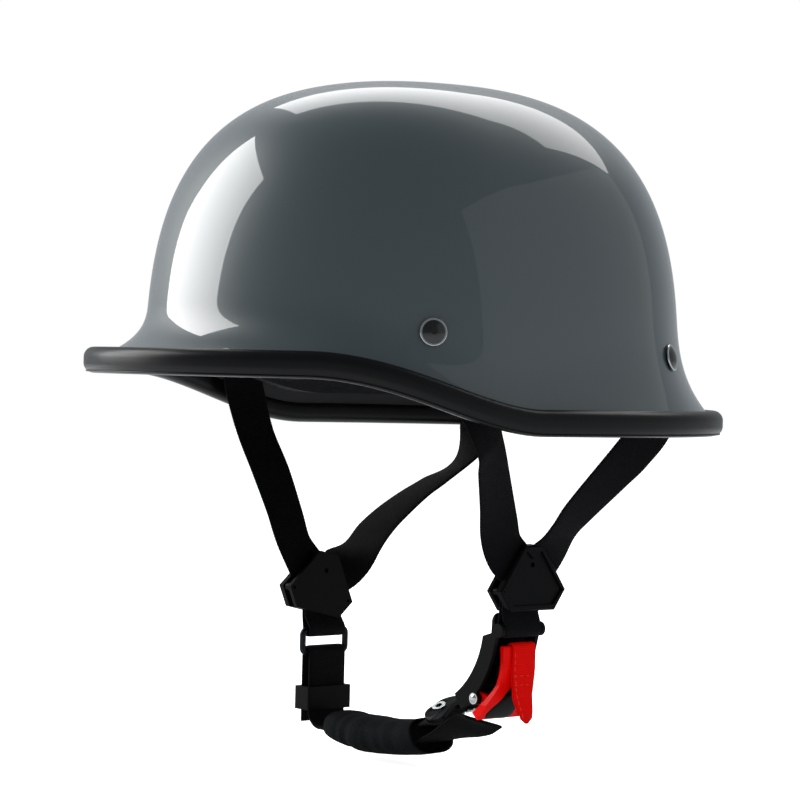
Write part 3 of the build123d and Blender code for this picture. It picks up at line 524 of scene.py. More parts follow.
def ribbon(name, line, facing, width, thickness, finish, wave=0.0, taper=1.0):
    """Woven webbing along a line: a flat section with rolled selvedges, and a UV map in millimetres."""
    line = np.array(line)
    way = unit(np.gradient(line, axis=0))
    across = unit(np.cross(way, facing))
    outward = np.cross(across, way)
    turn = np.linspace(0, 2 * pi, RIBBON_SECTION, endpoint=False)
    u = blunt(np.cos(turn), RIBBON_FLAT) * width / 2
    v = blunt(np.sin(turn), RIBBON_ROLL) * thickness / 2
    walk = walked(line)
    edge_wave = (1 + wave * np.sin(walk * 2 * pi / PICK_STEP)) * taper
    points = (line[:, None] + across[:, None] * (u[None, :] * edge_wave[:, None])[..., None]
              + outward[:, None] * v[None, :, None])
    piece = mesh_piece(name, points.reshape(-1, 3), closed_faces(len(line), RIBBON_SECTION), finish)
    layer = piece.data.uv_layers.new(name="weave")
    corner = np.zeros(len(piece.data.loops), int)
    piece.data.loops.foreach_get("vertex_index", corner)
    coords = np.stack([u[corner % RIBBON_SECTION] / MM, walk[corner // RIBBON_SECTION] / MM], 1)
    layer.data.foreach_set("uv", coords.astype(np.float32).ravel())
    recalculate(piece)
    return piece


# Shell form, the same rule as the solid's. Angles are from the front, in degrees

# Where the rim steps down from the brow to the ear
BROW_END, EAR_START = 42.0, 92.7
# Where the front's flare ends, where the ear is, and over what turn the flare grows again to the nape
FRONT_FLARE_END, EAR, NAPE_FLARE_TURN = 75.0, 90.0, 80.0
# Where the skirt starts to grow taller, and over what turn
SKIRT_START, SKIRT_TURN = 80.0, 60.0
# Steps over which the skin's slope is taken, as a share of the height and an angle, and the highest share of
# the height at which it is taken
SLOPE_RISE, SLOPE_TURN, SLOPE_TOP = 1 / 4000, 0.25, 0.9998


def off_front(angle):
    return np.degrees(np.arccos(np.clip(np.cos(np.radians(angle)), -1, 1)))


def rim_height(sizes, angle):
    return sizes.brow_rise * (1 - ease((off_front(angle) - BROW_END) / (EAR_START - BROW_END)))


def flare_reach(sizes, angle):
    turn = off_front(angle)
    front = sizes.front_flare + (sizes.side_flare - sizes.front_flare) * ease(turn / FRONT_FLARE_END)
    rear = sizes.side_flare + (sizes.nape_flare - sizes.side_flare) * ease((turn - EAR) / NAPE_FLARE_TURN)
    return np.where(turn < EAR, front, rear)


def skirt_height(sizes, angle):
    grown = ease((off_front(angle) - SKIRT_START) / SKIRT_TURN)
    return sizes.front_skirt + (sizes.nape_skirt - sizes.front_skirt) * grown


def plan_radius(sizes, angle):
    turn = np.radians(angle)
    along = np.where(np.cos(turn) > 0, sizes.front_length, sizes.rear_length)
    power = sizes.plan_power
    side, front = np.abs(np.sin(turn)) / sizes.half_width, np.abs(np.cos(turn)) / along
    return (side ** power + front ** power) ** (-1 / power)


def skin_radius(sizes, angle, z):
    level = np.clip(z / sizes.height, 0, 1)
    radius = plan_radius(sizes, angle) * (1 - level ** sizes.side_power) ** (1 / sizes.crown_power)
    reach = np.maximum(1 - (z - rim_height(sizes, angle)) / skirt_height(sizes, angle), 0)
    grown = np.where(reach < 1, reach ** sizes.skirt_power, 1 + sizes.skirt_power * (reach - 1))
    return radius + (flare_reach(sizes, angle) - sizes.trim_proud) * grown


def places(angle, radius, z):
    turn = np.radians(angle)
    return np.stack([radius * np.sin(turn), -radius * np.cos(turn), z + 0 * radius], -1)


def skin_points(sizes, angle, z):
    return places(angle, skin_radius(sizes, angle, z), z)


def skin_normals(sizes, angle, z):
    step = sizes.height * SLOPE_RISE
    high = np.minimum(z + step, sizes.height * SLOPE_TOP)
    up = skin_points(sizes, angle, high) - skin_points(sizes, angle, high - 2 * step)
    around = skin_points(sizes, angle + SLOPE_TURN, z) - skin_points(sizes, angle - SLOPE_TURN, z)
    return unit(np.cross(around, up))


def ring_shares(sizes, fine_steps=2000):
    """Shares of the rise from rim to crown at even steps along the wall, closer together on the skirt."""
    turn = np.radians(np.linspace(0, 90, fine_steps))
    across = sizes.half_width * np.cos(turn).clip(0) ** (2 / sizes.crown_power)
    rise = sizes.height * np.sin(turn) ** (2 / sizes.side_power)
    walk = walked(np.stack([across, rise], 1))
    steps = np.linspace(0, 1, sizes.rings, endpoint=False)
    return np.interp(steps * walk[-1], walk, rise) / sizes.height


def trim_line(sizes, count=480):
    """The middle of the trim, all round the rim."""
    angle = np.linspace(0, 360, count, endpoint=False)
    z = rim_height(sizes, angle)
    return places(angle, skin_radius(sizes, angle, z) + sizes.trim_proud - sizes.trim_width / 2, z)


# Geometry Nodes

def curve_of(name, *lines, cyclic=False):
    """One curve object that holds the given lines."""
    curve = bpy.data.curves.new(name, "CURVE")
    curve.dimensions = "3D"
    for points in lines:
        spline = curve.splines.new("POLY")
        spline.points.add(len(points) - 1)
        for knot, point in zip(spline.points, points):
            knot.co = (*point, 1)
        spline.use_cyclic_u = cyclic
    return new_piece(name, curve)


def new_tree(name, sockets):
    """A Geometry Nodes tree with a geometry input and output and the named inputs."""
    tree = bpy.data.node_groups.new(name, "GeometryNodeTree")
    tree.interface.new_socket("Geometry", in_out="INPUT", socket_type="NodeSocketGeometry")
    tree.interface.new_socket("Geometry", in_out="OUTPUT", socket_type="NodeSocketGeometry")
    for socket, kind in sockets.items():
        tree.interface.new_socket(socket, in_out="INPUT", socket_type="NodeSocket" + kind)
    return tree, add(tree, "NodeGroupInput"), add(tree, "NodeGroupOutput")


def end_tree(tree, source, result, shape):
    """Ends a tree: the shape as real geometry, in its finish."""
    real = add(tree, "GeometryNodeRealizeInstances", {0: (shape, 0)})
    add(tree, "GeometryNodeSetMaterial", {"Geometry": (real, 0), "Material": (source, "Material")},
        feeds=(0, result, 0))


def run_tree(carrier, tree, values, name):
    """Runs a tree on a carrier object and keeps the result as a plain mesh at the origin."""
    modifier = carrier.modifiers.new(tree.name, "NODES")
    modifier.node_group = tree
    for item in tree.interface.items_tree:
        if item.item_type == "SOCKET" and item.in_out == "INPUT" and item.name in values:
            modifier[item.identifier] = values[item.name]
    mesh = made_mesh(carrier)
    mesh.name = name
    carrier.modifiers.remove(modifier)
    bpy.data.objects.remove(carrier)
    return new_piece(name, mesh)


def bead_tree():
    """A rubber bead: a rounded rectangle with a thin lip at its foot, carried upright along a closed line."""
    tree, source, result = new_tree("rim_bead", {
        "Width": "Float", "Height": "Float", "Round": "Float", "Lip": "Float", "Lip Place": "Vector",
        "Material": "Material"})
    upright = add(tree, "GeometryNodeSetCurveNormal", {"Curve": (source, "Geometry")}, mode="Z_UP")
    outline = add(tree, "GeometryNodeCurvePrimitiveQuadrilateral",
                  {"Width": (source, "Width"), "Height": (source, "Height")})
    rounded = add(tree, "GeometryNodeFilletCurve",
                  {"Curve": (outline, 0), "Radius": (source, "Round"), "Count": 10}, mode="POLY")
    section = add(tree, "GeometryNodeJoinGeometry", {"Geometry": (rounded, 0)})
    lip = add(tree, "GeometryNodeCurvePrimitiveCircle", {"Resolution": 10, "Radius": (source, "Lip")})
    add(tree, "GeometryNodeTransform", {"Geometry": (lip, 0), "Translation": (source, "Lip Place")},
        feeds=(0, section, 0))
    swept = add(tree, "GeometryNodeCurveToMesh", {"Curve": (upright, 0), "Profile Curve": (section, 0)})
    smooth = add(tree, "GeometryNodeSetShadeSmooth", {"Geometry": (swept, 0)})
    end_tree(tree, source, result, smooth)
    return tree


def stitch_tree(slimming=-2.6):
    """Sewn stitches: short lengths of thread that slim towards their ends, evenly spaced along a line."""
    tree, source, result = new_tree("stitch_row", {
        "Stitch": "Float", "Spacing": "Float", "Thread": "Float", "Material": "Material"})
    spots = add(tree, "GeometryNodeResampleCurve",
                {"Curve": (source, "Geometry"), "Length": (source, "Spacing")}, mode="LENGTH")
    tangent = add(tree, "GeometryNodeInputTangent")
    turned_way = add(tree, "FunctionNodeAlignRotationToVector", {"Vector": (tangent, 0)}, axis="Z")
    thread = add(tree, "GeometryNodeMeshCylinder",
                 {"Vertices": 6, "Side Segments": 3, "Radius": (source, "Thread"),
                  "Depth": (source, "Stitch")})
    place = add(tree, "GeometryNodeInputPosition")
    axis = add(tree, "ShaderNodeSeparateXYZ", {0: (place, 0)})
    along = add(tree, "ShaderNodeMath", {0: (axis, 2), 1: (source, "Stitch")}, operation="DIVIDE")
    away = add(tree, "ShaderNodeMath", {0: (along, 0), 1: (along, 0)}, operation="MULTIPLY")
    slim = add(tree, "ShaderNodeMath", {0: (away, 0), 1: slimming, 2: 1.0}, operation="MULTIPLY_ADD")
    wide = add(tree, "ShaderNodeCombineXYZ", {0: (slim, 0), 1: (slim, 0), 2: 1.0})
    shaped = add(tree, "ShaderNodeVectorMath", {0: (place, 0), 1: (wide, 0)}, operation="MULTIPLY")
    moved = add(tree, "GeometryNodeSetPosition", {"Geometry": (thread, 0), "Position": (shaped, 0)})
    copies = add(tree, "GeometryNodeInstanceOnPoints",
                 {"Points": (spots, 0), "Instance": (moved, 0), "Rotation": (turned_way, 0)})
    end_tree(tree, source, result, copies)
    return tree


def stitch_rows(name, lines, finish):
    """Sewn rows along the given lines, as one mesh."""
    sizes = bpy.context.scene.helmet_webbing
    values = {"Stitch": sizes.stitch, "Spacing": sizes.stitch_gap, "Thread": sizes.thread,
              "Material": finish_of(finish)}
    return run_tree(curve_of(name + "_line", *lines), stitch_tree(), values, name)


# Chin plane: upright, turned a little about Z. Places in it are (s, z), with n across it

CHIN_TURN = radians(11.5)
CHIN_Y = 7.4 * MM
# The lowest height of the chin web
CHIN_LOW = -149.6 * MM
# The toothed tongue follows a circle about this centre
TONGUE_CENTRE = (21.0 * MM, -89.0 * MM)
TONGUE_ORBIT = 44.0 * MM
# How far its free end is turned, in degrees, and the start and reach of where that turn grows and fades
TONGUE_TURN = 28.0
TURN_GROWS, TURN_FADES = (4 * MM, 12 * MM), (27 * MM, 14 * MM)
# Clearance between webbing and whatever it passes round
WEB_GAP = 0.25 * MM


def chin_way(s, n, z):
    return (s * cos(CHIN_TURN) - n * sin(CHIN_TURN), s * sin(CHIN_TURN) + n * cos(CHIN_TURN), z)


def chin_spot(s, n, z):
    x, y, z = chin_way(s, n, z)
    return (x, CHIN_Y + y, z)


def polar(orbit, degrees_round):
    turn = radians(degrees_round)
    return (TONGUE_CENTRE[0] + orbit * cos(turn), TONGUE_CENTRE[1] + orbit * sin(turn))


def chin_ribbon(name, flat_line, width, thickness, finish, shift=0.0, taper=1.0):
    """Webbing along (s, z) points in the chin plane, moved sideways by its shift."""
    s, z = np.array(flat_line).T
    line = np.stack(chin_spot(s, shift + 0 * s, z), 1)
    facing = np.cross(unit(np.gradient(line, axis=0)), chin_way(0, 1, 0))
    return ribbon(name, line, facing, width, thickness, finish, taper=taper)


def turn_share(s):
    """How far the tongue's free end is turned at that place along it: not at all inside the receiver."""
    grown, faded = (ease((s - start) / reach) for start, reach in (TURN_GROWS, TURN_FADES))
    return grown * (1 - faded)


def turned(spots):
    """Places on the tongue and its web, turned about the tongue's middle line so that the near edge hangs."""
    x, y, z = spots.T
    y = y - CHIN_Y
    s, n = x * cos(CHIN_TURN) + y * sin(CHIN_TURN), y * cos(CHIN_TURN) - x * sin(CHIN_TURN)
    along, down = s - TONGUE_CENTRE[0], TONGUE_CENTRE[1] - z
    orbit = np.hypot(along, down)
    angle = radians(TONGUE_TURN) * turn_share(s)
    away = orbit - TONGUE_ORBIT
    grown = TONGUE_ORBIT + away * np.cos(angle) - n * np.sin(angle)
    n = n * np.cos(angle) + away * np.sin(angle)
    s = TONGUE_CENTRE[0] + along * grown / orbit
    z = TONGUE_CENTRE[1] - down * grown / orbit
    return np.stack(chin_spot(s, n, z), 1)


# Shell and trim

class HelmetShellOperator(bpy.types.Operator):
    """Makes the lacquered shell as one smooth wall"""
    bl_idname = "helmet.shell"
    bl_label = "Lacquered shell"

    def execute(self, context):
        sizes = context.scene.helmet_shell
        spokes, rings = sizes.spokes, sizes.rings
        angle = np.linspace(0, 360, spokes, endpoint=False)[None, :]
        low = rim_height(sizes, angle) - sizes.edge_drop
        z = low + (sizes.height - low) * ring_shares(sizes)[:, None]
        angle = angle + 0 * z
        outer = skin_points(sizes, angle, z)
        inner = outer - skin_normals(sizes, angle, z) * sizes.wall
        points = np.concatenate([outer.reshape(-1, 3), [[0, 0, sizes.height]], inner.reshape(-1, 3),
                                 [[0, 0, sizes.height - sizes.wall]]])
        half = rings * spokes + 1
        pairs = [(c, (c + 1) % spokes) for c in range(spokes)]
        faces = []
        for base, way in ((0, 1), (half, -1)):
            top = base + (rings - 1) * spokes
            faces += [quad[::way] for quad in ring_faces(rings, spokes, base)]
            faces += [(top + c, top + d, top + spokes)[::way] for c, d in pairs]
        faces += [(c, half + c, half + d, d) for c, d in pairs]
        piece = mesh_piece("lacquered_shell", points, faces, "lacquer")
        piece.data.materials.append(finish_of("primer"))
        outside = rings * spokes
        for number, face in enumerate(piece.data.polygons):
            face.material_index = 0 if number < outside else 1
        dress(piece, "root", "shell_gloss", "outer_shell")
        return {"FINISHED"}


class HelmetTrimOperator(bpy.types.Operator):
    """Carries the rubber bead all round the rim"""
    bl_idname = "helmet.trim"
    bl_label = "Edge trim"

    def execute(self, context):
        sizes = context.scene.helmet_shell
        line = curve_of("rim_line", trim_line(sizes), cyclic=True)
        # The lip stands on the rounded lower corner, a little nearer to its outer face than to its foot
        slant = sizes.trim_round * (1 - 2 ** -0.5)
        spot = (sizes.trim_width / 2 - slant * 1.15, sizes.trim_height / 2 - slant * 0.75, 0)
        values = {"Width": sizes.trim_width, "Height": sizes.trim_height, "Round": sizes.trim_round,
                  "Lip": sizes.trim_lip, "Lip Place": spot, "Material": finish_of("rubber")}
        piece = run_tree(line, bead_tree(), values, "rubber_edge_trim")
        recalculate(piece, merge=MERGE)
        dress(piece, "root", "trim_rubber", "edge_trim")
        return {"FINISHED"}


# Hard parts

KEPT_SOLIDS = {
    "foam": ("foam_liner",),
    "enamel": ("anchor_caps",),
    "steel": ("anchor_rings", "anchor_washers", "lever_axle"),
    "plastic": ("divider_left_front", "divider_left_back", "divider_right_front", "divider_right_back",
                "strap_keeper", "buckle_receiver"),
    "dark_steel": ("rectangular_ring", "lever_spring", "pawl_leaf"),
    "lever": ("release_lever",),
}
TURNED_SOLIDS = {
    "tongue": ("plastic", "black_plastic"),
    "tongue_rivets": ("steel", "bright_metal"),
    "tongue_eyelet": ("steel", "bright_metal"),
}
# The lever's black shield as (n, z) corners, and its outer bow as (s, z, radius), in millimetres
INSERT_CORNERS = ((-10.2, -130.2), (-1.6, -117.6), (1.6, -114.4), (4.4, -116.2), (8.4, -127.0), (6.6, -133.4),
                  (-8.6, -133.0))
LEVER_BOW = (30.04, -103.43, 41.26)
# How much of each side its corners round off and in how many points, its rings, the share of its size at the
# middle one, and how far its middle stands out and its edge reaches in, in millimetres
CORNER_SHARE, CORNER_POINTS = 0.28, 7
INSERT_RINGS, INSERT_HEART, INSERT_PROUD, INSERT_SUNK = 8, 0.02, 0.4, -0.7
# Radius and height of the axle's domes, and how far out they start, in millimetres
AXLE_DOME = ((2.35, -0.3), (2.35, 0.1), (2.2, 0.34), (1.9, 0.62), (1.4, 0.86), (0.8, 0.99), (0.1, 1.03))
AXLE_REACH = 13.55
AXLE_PLACE = (50 * MM, -44)
AXLE_SPOKES = 32


class HelmetInsideOperator(bpy.types.Operator):
    """Finishes the foam liner, the rivets and the hard parts that keep their solids"""
    bl_idname = "helmet.inside"
    bl_label = "Liner, rivets and hard parts"

    def execute(self, context):
        for finish, nodes in KEPT_SOLIDS.items():
            repaint(finish, *nodes)
        for node, (finish, slot) in TURNED_SOLIDS.items():
            piece = copied_mesh(node, "turned_" + node, finish)
            move_points(piece, turned(points_of(piece)))
            dress(piece, "tongue", slot, node)
        self.make_insert()
        self.make_axle_ends()
        return {"FINISHED"}

    def make_insert(self):
        """A smooth black shield that lies in the lever's curved face and stands a little proud of it."""
        corners = np.array(INSERT_CORNERS)
        t = np.linspace(0, 1, CORNER_POINTS)[:, None]
        outline = []
        for k, corner in enumerate(corners):
            start, end = (corner + (near - corner) * CORNER_SHARE
                          for near in (corners[k - 1], corners[(k + 1) % len(corners)]))
            outline.extend((1 - t) ** 2 * start + 2 * t * (1 - t) * corner + t ** 2 * end)
        outline = np.array(outline)
        middle = outline.mean(0)
        points = []
        for k in range(INSERT_RINGS + 2):
            part = min(k, INSERT_RINGS) / INSERT_RINGS
            lift = INSERT_SUNK if k > INSERT_RINGS else INSERT_PROUD * (1 - part ** 3)
            for n, z in middle + (outline - middle) * max(part, INSERT_HEART):
                s = LEVER_BOW[0] + (LEVER_BOW[2] ** 2 - (z - LEVER_BOW[1]) ** 2) ** 0.5 + lift
                points.append(chin_spot(s * MM, n * MM, z * MM))
        piece = mesh_piece("lever_shield", points, closed_faces(INSERT_RINGS + 2, len(outline)), "insert")
        recalculate(piece)
        dress(piece, "lever", "black_plastic", "lever_insert")

    def make_axle_ends(self):
        """Low polished domes, peened over at both ends of the lever's axle."""
        middle_s, middle_z = polar(*AXLE_PLACE)
        points, faces = [], []
        for side in (-1, 1):
            faces += closed_faces(len(AXLE_DOME), AXLE_SPOKES, len(points))
            for radius, height in AXLE_DOME:
                out = side * (AXLE_REACH + height) * MM
                for turn in np.linspace(0, 2 * pi, AXLE_SPOKES, endpoint=False):
                    points.append(chin_spot(middle_s + radius * MM * cos(turn), out,
                                            middle_z + radius * MM * sin(turn)))
        piece = mesh_piece("domed_axle_ends", points, faces, "steel")
        recalculate(piece)
        dress(piece, "root", "wire_steel")


# Webbing

STRAP_KEYS = {
    # x, y, z in millimetres, then the way that the outer face looks
    "strap_left_front": (
        (92.9, -48, 44.5, 0.96, -0.27, 0.04),
        (94.4, -42.9, 37.5, 0.96, -0.27, 0.04),
        (97, -33, 24, 0.98, -0.2, 0.05),
        (99, -22, 9, 0.99, 0.1, 0.1),
        (96, -12.5, -9.4, 0.88, 0.47, 0.01),
        (92.5, -9.1, -17.1, 0.85, 0.49, -0.21),
        (84, -1.5, -32.3, 0.87, 0.4, -0.28),
        (76, 5.6, -47.1, 0.91, 0.26, -0.32),
        (71.8, 11.3, -57.2, 0.96, 0.24, -0.14),
        (70, 19.5, -64.7, 0.98, 0.2, 0),
    ),
    "strap_left_rear": (
        (73.9, 89.5, 36.5, 0.79, 0.57, 0.2),
        (77.1, 87.4, 28.5, 0.79, 0.57, 0.2),
        (82, 86, 14, 0.83, 0.52, 0.2),
        (87, 82, 2, 0.91, 0.41, 0.1),
        (86, 69.6, -12.3, 0.97, 0.09, -0.22),
        (83.5, 60.8, -22.3, 0.91, 0.08, -0.39),
        (76, 46.8, -40.3, 0.84, 0.21, -0.5),
        (72.5, 41.8, -48.7, 0.83, 0.33, -0.46),
        (69.3, 37.3, -57.5, 0.9, 0.3, -0.2),
        (66.0, 30.6, -66.5, 0.98, 0.2, 0),
    ),
    "strap_right_front": (
        (-92.9, -48, 44.5, -0.96, -0.27, 0.04),
        (-94.4, -42.9, 37.5, -0.96, -0.27, 0.04),
        (-97, -37.5, 24, -0.97, -0.24, 0.04),
        (-98, -33, 9, -0.99, -0.15, 0),
        (-93, -29.5, -10.1, -0.92, -0.15, -0.36),
        (-84.5, -25, -28.7, -0.89, -0.11, -0.43),
        (-76, -21.6, -47.3, -0.88, -0.19, -0.45),
        (-68.5, -19.7, -62.4, -0.89, -0.23, -0.39),
        (-65.5, -12, -76.7, -0.98, -0.2, 0),
    ),
    "strap_right_rear": (
        (-73.9, 89.5, 36.5, -0.79, 0.57, 0.2),
        (-77.1, 87.4, 28.5, -0.79, 0.57, 0.2),
        (-81, 89, 14, -0.8, 0.59, 0.1),
        (-84.5, 94, 1, -0.76, 0.64, -0.11),
        (-87, 86.7, -22.1, 0.06, 0.79, -0.6),
        (-86, 67.7, -33.7, -0.04, 0.5, -0.87),
        (-84.5, 55.7, -40.1, -0.1, 0.48, -0.87),
        (-81.5, 42.6, -48, -0.2, 0.5, -0.85),
        (-78, 30.9, -56.1, -0.27, 0.53, -0.8),
        (-73.5, 20.3, -65.4, -0.35, 0.55, -0.76),
        (-68.5, 8.5, -73.5, -0.85, 0.2, -0.5),
        (-65, -1.2, -78.1, -0.98, -0.2, 0),
    ),
}


class HelmetStrapsOperator(bpy.types.Operator):
    """Weaves the four straps from their rivets to the dividers"""
    bl_idname = "helmet.straps"
    bl_label = "Straps"

    def execute(self, context):
        webbing = context.scene.helmet_webbing
        for node, keys in STRAP_KEYS.items():
            path = through_keys(np.array(keys) * ((MM,) * 3 + (1,) * 3), count=180)
            piece = ribbon("woven_" + node, path[:, :3], unit(path[:, 3:]), webbing.width, webbing.thickness,
                           "webbing", wave=0.006)
            dress(piece, "root", "webbing", node)
        return {"FINISHED"}


# The buckle's web bar, as its orbit and angle round the tongue's centre, and its radius
BUCKLE_BAR, BUCKLE_BAR_RADIUS = (49.9 * MM, -4.0), 1.7 * MM
# The rectangular ring's centre, the radius of its wire, and how far its long wires are from its centre
RING_CENTRE, RING_WIRE, RING_REACH = (-63.9 * MM, -109.2 * MM), 1.5 * MM, 5.2 * MM
# Where the middle of each divider is: s and z
LEFT_DIVIDER, RIGHT_DIVIDER = (70.2 * MM, -69.5 * MM), (-66.3 * MM, -81.5 * MM)
DIVIDER_HEIGHT = 29.0 * MM
# How the lower right web bends into the chin web, and how far its free tail hangs past the bend
CHIN_BEND, TAIL = 8.0 * MM, 6 * MM
# Where the chin web leaves its flat run, and a place and a way on its climb
FLAT_END = -26 * MM
CLIMB, CLIMB_WAY = (-4 * MM, -148.0 * MM), (0.97, 0.25)
# The radius of the tongue's back, and where the web runs along it, in degrees
TONGUE_BACK, BACK_START, BACK_END = (43.0 + 1.9 + 0.05) * MM, -88, -62.0
# The free end of the chin web under the buckle: s and z in millimetres, and its tilt in degrees
FLAP_KEYS = ((2.0, -150.0, 0), (10.0, -149.4, 0), (24.0, -145.2, 6), (35.0, -141.0, 20), (43.0, -137.5, 28),
             (49.6, -135.9, 16))


def loop_line(bar, bar_radius, divider, thickness):
    """Webbing in two layers from a divider round a bar, as (s, z) points."""
    top_s, middle_z = divider
    layer = (thickness + WEB_GAP) / 2
    turn = bar_radius + WEB_GAP + thickness / 2
    head, foot = middle_z - DIVIDER_HEIGHT / 6, middle_z - DIVIDER_HEIGHT / 2
    line = [(top_s + layer, head), (top_s + layer, foot)]
    line += eased((top_s + layer, foot), (bar[0] + turn, bar[1]), (0, -1), (0, -1), 24)
    line += arc_points(bar, turn, 0, -180, 16)
    line += eased((bar[0] - turn, bar[1]), (top_s - layer, foot), (0, 1), (0, 1), 24)
    line += [(top_s - layer, head)]
    return thin_out(line)


class HelmetWebsOperator(bpy.types.Operator):
    """Weaves the short webs below the dividers and the chin web"""
    bl_idname = "helmet.webs"
    bl_label = "Short webs and chin web"

    def execute(self, context):
        webbing = context.scene.helmet_webbing
        width, thick = webbing.width, webbing.thickness
        ring_s, ring_z = RING_CENTRE
        low_bar = (ring_s, ring_z - RING_REACH)
        leg, bend_z = RING_WIRE + WEB_GAP + thick / 2, CHIN_LOW + CHIN_BEND
        lines = {
            "web_left": loop_line(polar(*BUCKLE_BAR), BUCKLE_BAR_RADIUS, LEFT_DIVIDER, thick),
            "web_right_upper": loop_line((ring_s, ring_z + RING_REACH), RING_WIRE, RIGHT_DIVIDER, thick),
            "web_right_lower": thin_out([(ring_s - leg, bend_z - TAIL), (ring_s - leg, low_bar[1]),
                                         *arc_points(low_bar, leg, 180, 0, 16), (ring_s + leg, bend_z)]),
        }
        for node, line in lines.items():
            dress(chin_ribbon("woven_" + node, line, width, thick, "webbing"), "root", "webbing", node)
        self.make_chin_web(ring_s + leg + CHIN_BEND, bend_z, width, thick)
        self.make_flap(width, thick)
        return {"FINISHED"}

    def make_chin_web(self, bend_s, bend_z, width, thick):
        """The web under the chin, from the bend below the ring to the tongue's back."""
        orbit = TONGUE_BACK + thick / 2
        leave_turn = radians(BACK_START)
        line = arc_points((bend_s, bend_z), CHIN_BEND, 180, 270, 12)
        line += eased((FLAT_END, CHIN_LOW), CLIMB, (1, 0), CLIMB_WAY, 16)
        line += eased(CLIMB, polar(orbit, BACK_START), CLIMB_WAY, (-sin(leave_turn), cos(leave_turn)), 24)
        line += arc_points(TONGUE_CENTRE, orbit, BACK_START, BACK_END, 16)
        piece = chin_ribbon("woven_chin_web", thin_out(line), width, thick, "webbing")
        move_points(piece, turned(points_of(piece)))
        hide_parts("chin_web")
        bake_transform(piece)

    def make_flap(self, width, thick):
        """The limp free end of the chin web, tilted more and more as it reaches under the buckle."""
        s, z, tilt = np.array(FLAP_KEYS).T
        path = through_keys(np.column_stack([s * MM, 0 * s, z * MM, tilt]), count=90)
        line = np.stack(chin_spot(*path[:, :3].T), 1)
        way, side = unit(np.gradient(line, axis=0)), np.array(chin_way(0, 1, 0))
        lean = np.radians(path[:, 3:])
        facing = np.cos(lean) * np.cross(way, side) + np.sin(lean) * side
        dress(ribbon("woven_chin_flap", line, facing, width, thick, "webbing"), "tongue", "webbing")


# Height, middle's place across the chin plane (both in millimetres) and share of the width, from the tip up
TAB_KEYS = ((-134.4, 4.7, 0.1), (-132.2, 4.6, 0.5), (-129.0, 4.1, 0.6), (-121.5, 2.2, 0.8),
            (-110.0, 2.2, 1.0), (-98.0, 2.2, 1.0))
# The lever's rod that the ribbon is looped over: its centre and radius
TAB_ROD, TAB_ROD_RADIUS = (70.1 * MM, -100.6 * MM), 1.4 * MM
# How close the two layers lie, as a share of one, how much shorter the back one is, and how far below the
# rod's centre it leaves the rod and meets the front one
TAB_LAYERS, TAB_BACK_SHORT, TAB_LEAVES, TAB_MEETS = 1.02, 4 * MM, 1 * MM, 7 * MM
TAB_STEP = 0.5 * MM
# Heights of the two cross seams and the ends of the edge seam, in millimetres, the cross seams' reach as a
# share of the width, the edge seam's distance from the edge, and how far the thread stands out of the face,
# as a share of its radius
CROSS_SEAMS, EDGE_SEAM = (-112.8, -116.9), (-130.5, -103.5)
SEAM_SHARE, SEAM_INSET, THREAD_PROUD = 0.42, 0.9 * MM, 0.4


class HelmetTabOperator(bpy.types.Operator):
    """Loops the red ribbon over the lever's rod and sews it"""
    bl_idname = "helmet.tab"
    bl_label = "Pull tab"

    def execute(self, context):
        webbing = context.scene.helmet_webbing
        width, thick = webbing.tab_width, webbing.tab_thickness
        heights, middles, shares = np.array(TAB_KEYS).T
        low = heights[0] * MM
        rod_s, rod_z = TAB_ROD
        inner = TAB_ROD_RADIUS + thick / 2
        front = rod_s + inner
        back = front - thick * TAB_LAYERS
        inside = (rod_s - inner, rod_z - TAB_LEAVES)
        line = [(front, low), (front, rod_z), *arc_points(TAB_ROD, inner, 0, 180, 12), inside]
        line += eased(inside, (back, rod_z - TAB_MEETS), (0, -1), (0, -1), 10)
        line = thin_out([*line, (back, low + TAB_BACK_SHORT)], TAB_STEP)
        z = line[:, 1] / MM
        piece = chin_ribbon("woven_pull_tab", line, width, thick, "tab",
                            shift=np.interp(z, heights, middles) * MM, taper=np.interp(z, heights, shares))
        dress(piece, "tab", "tab_red", "pull_tab")

        face = front + thick / 2 + webbing.thread * THREAD_PROUD
        rows = []
        for z in CROSS_SEAMS:
            reach = SEAM_SHARE * width * np.interp(z, heights, shares)
            middle = np.interp(z, heights, middles) * MM
            rows.append([chin_spot(face, middle + reach * side, z * MM) for side in (-1, 1)])
        z = np.linspace(*EDGE_SEAM, 12)
        inset = np.interp(z, heights, middles) * MM - (width / 2 * np.interp(z, heights, shares) - SEAM_INSET)
        rows.append(np.stack(chin_spot(face + 0 * z, inset, z * MM), 1))
        dress(stitch_rows("tab_stitches", rows, "red_thread"), "tab", "tab_red")
        return {"FINISHED"}


# Padded pieces

# The middle of the chin sleeve, as (s, z) in millimetres
SLEEVE_KEYS = ((-50.0, -147.4), (-44.0, -148.2), (-28.0, -149.6), (-7.0, -149.2), (6.0, -147.4),
               (12.0, -145.8))
# Its half width and half height, how square its section is, the points round it and the step along it
SLEEVE_HALF_WIDTH, SLEEVE_HALF_HEIGHT, SLEEVE_SQUARE = 15.0 * MM, 8.5 * MM, 0.8
SLEEVE_SECTION, SLEEVE_STEP = 56, 0.7 * MM
# The share of its size that its ends keep: the right one is gathered, the left one stands open
GATHERED_END, OPEN_END = 0.7, 0.94
# Wrinkles: how many, the limits of each one's place, side, width, depth and lean, and what a depth and a lean
# of one are, as a share of the sleeve's size and of its length
FOLDS, FOLD_LIMITS = 15, ((0.05, 0.95), (-pi, pi), (0.02, 0.07), (0.3, 1.0), (-1.2, 1.2))
FOLD_DEPTH, FOLD_LEAN = 0.06, 0.06
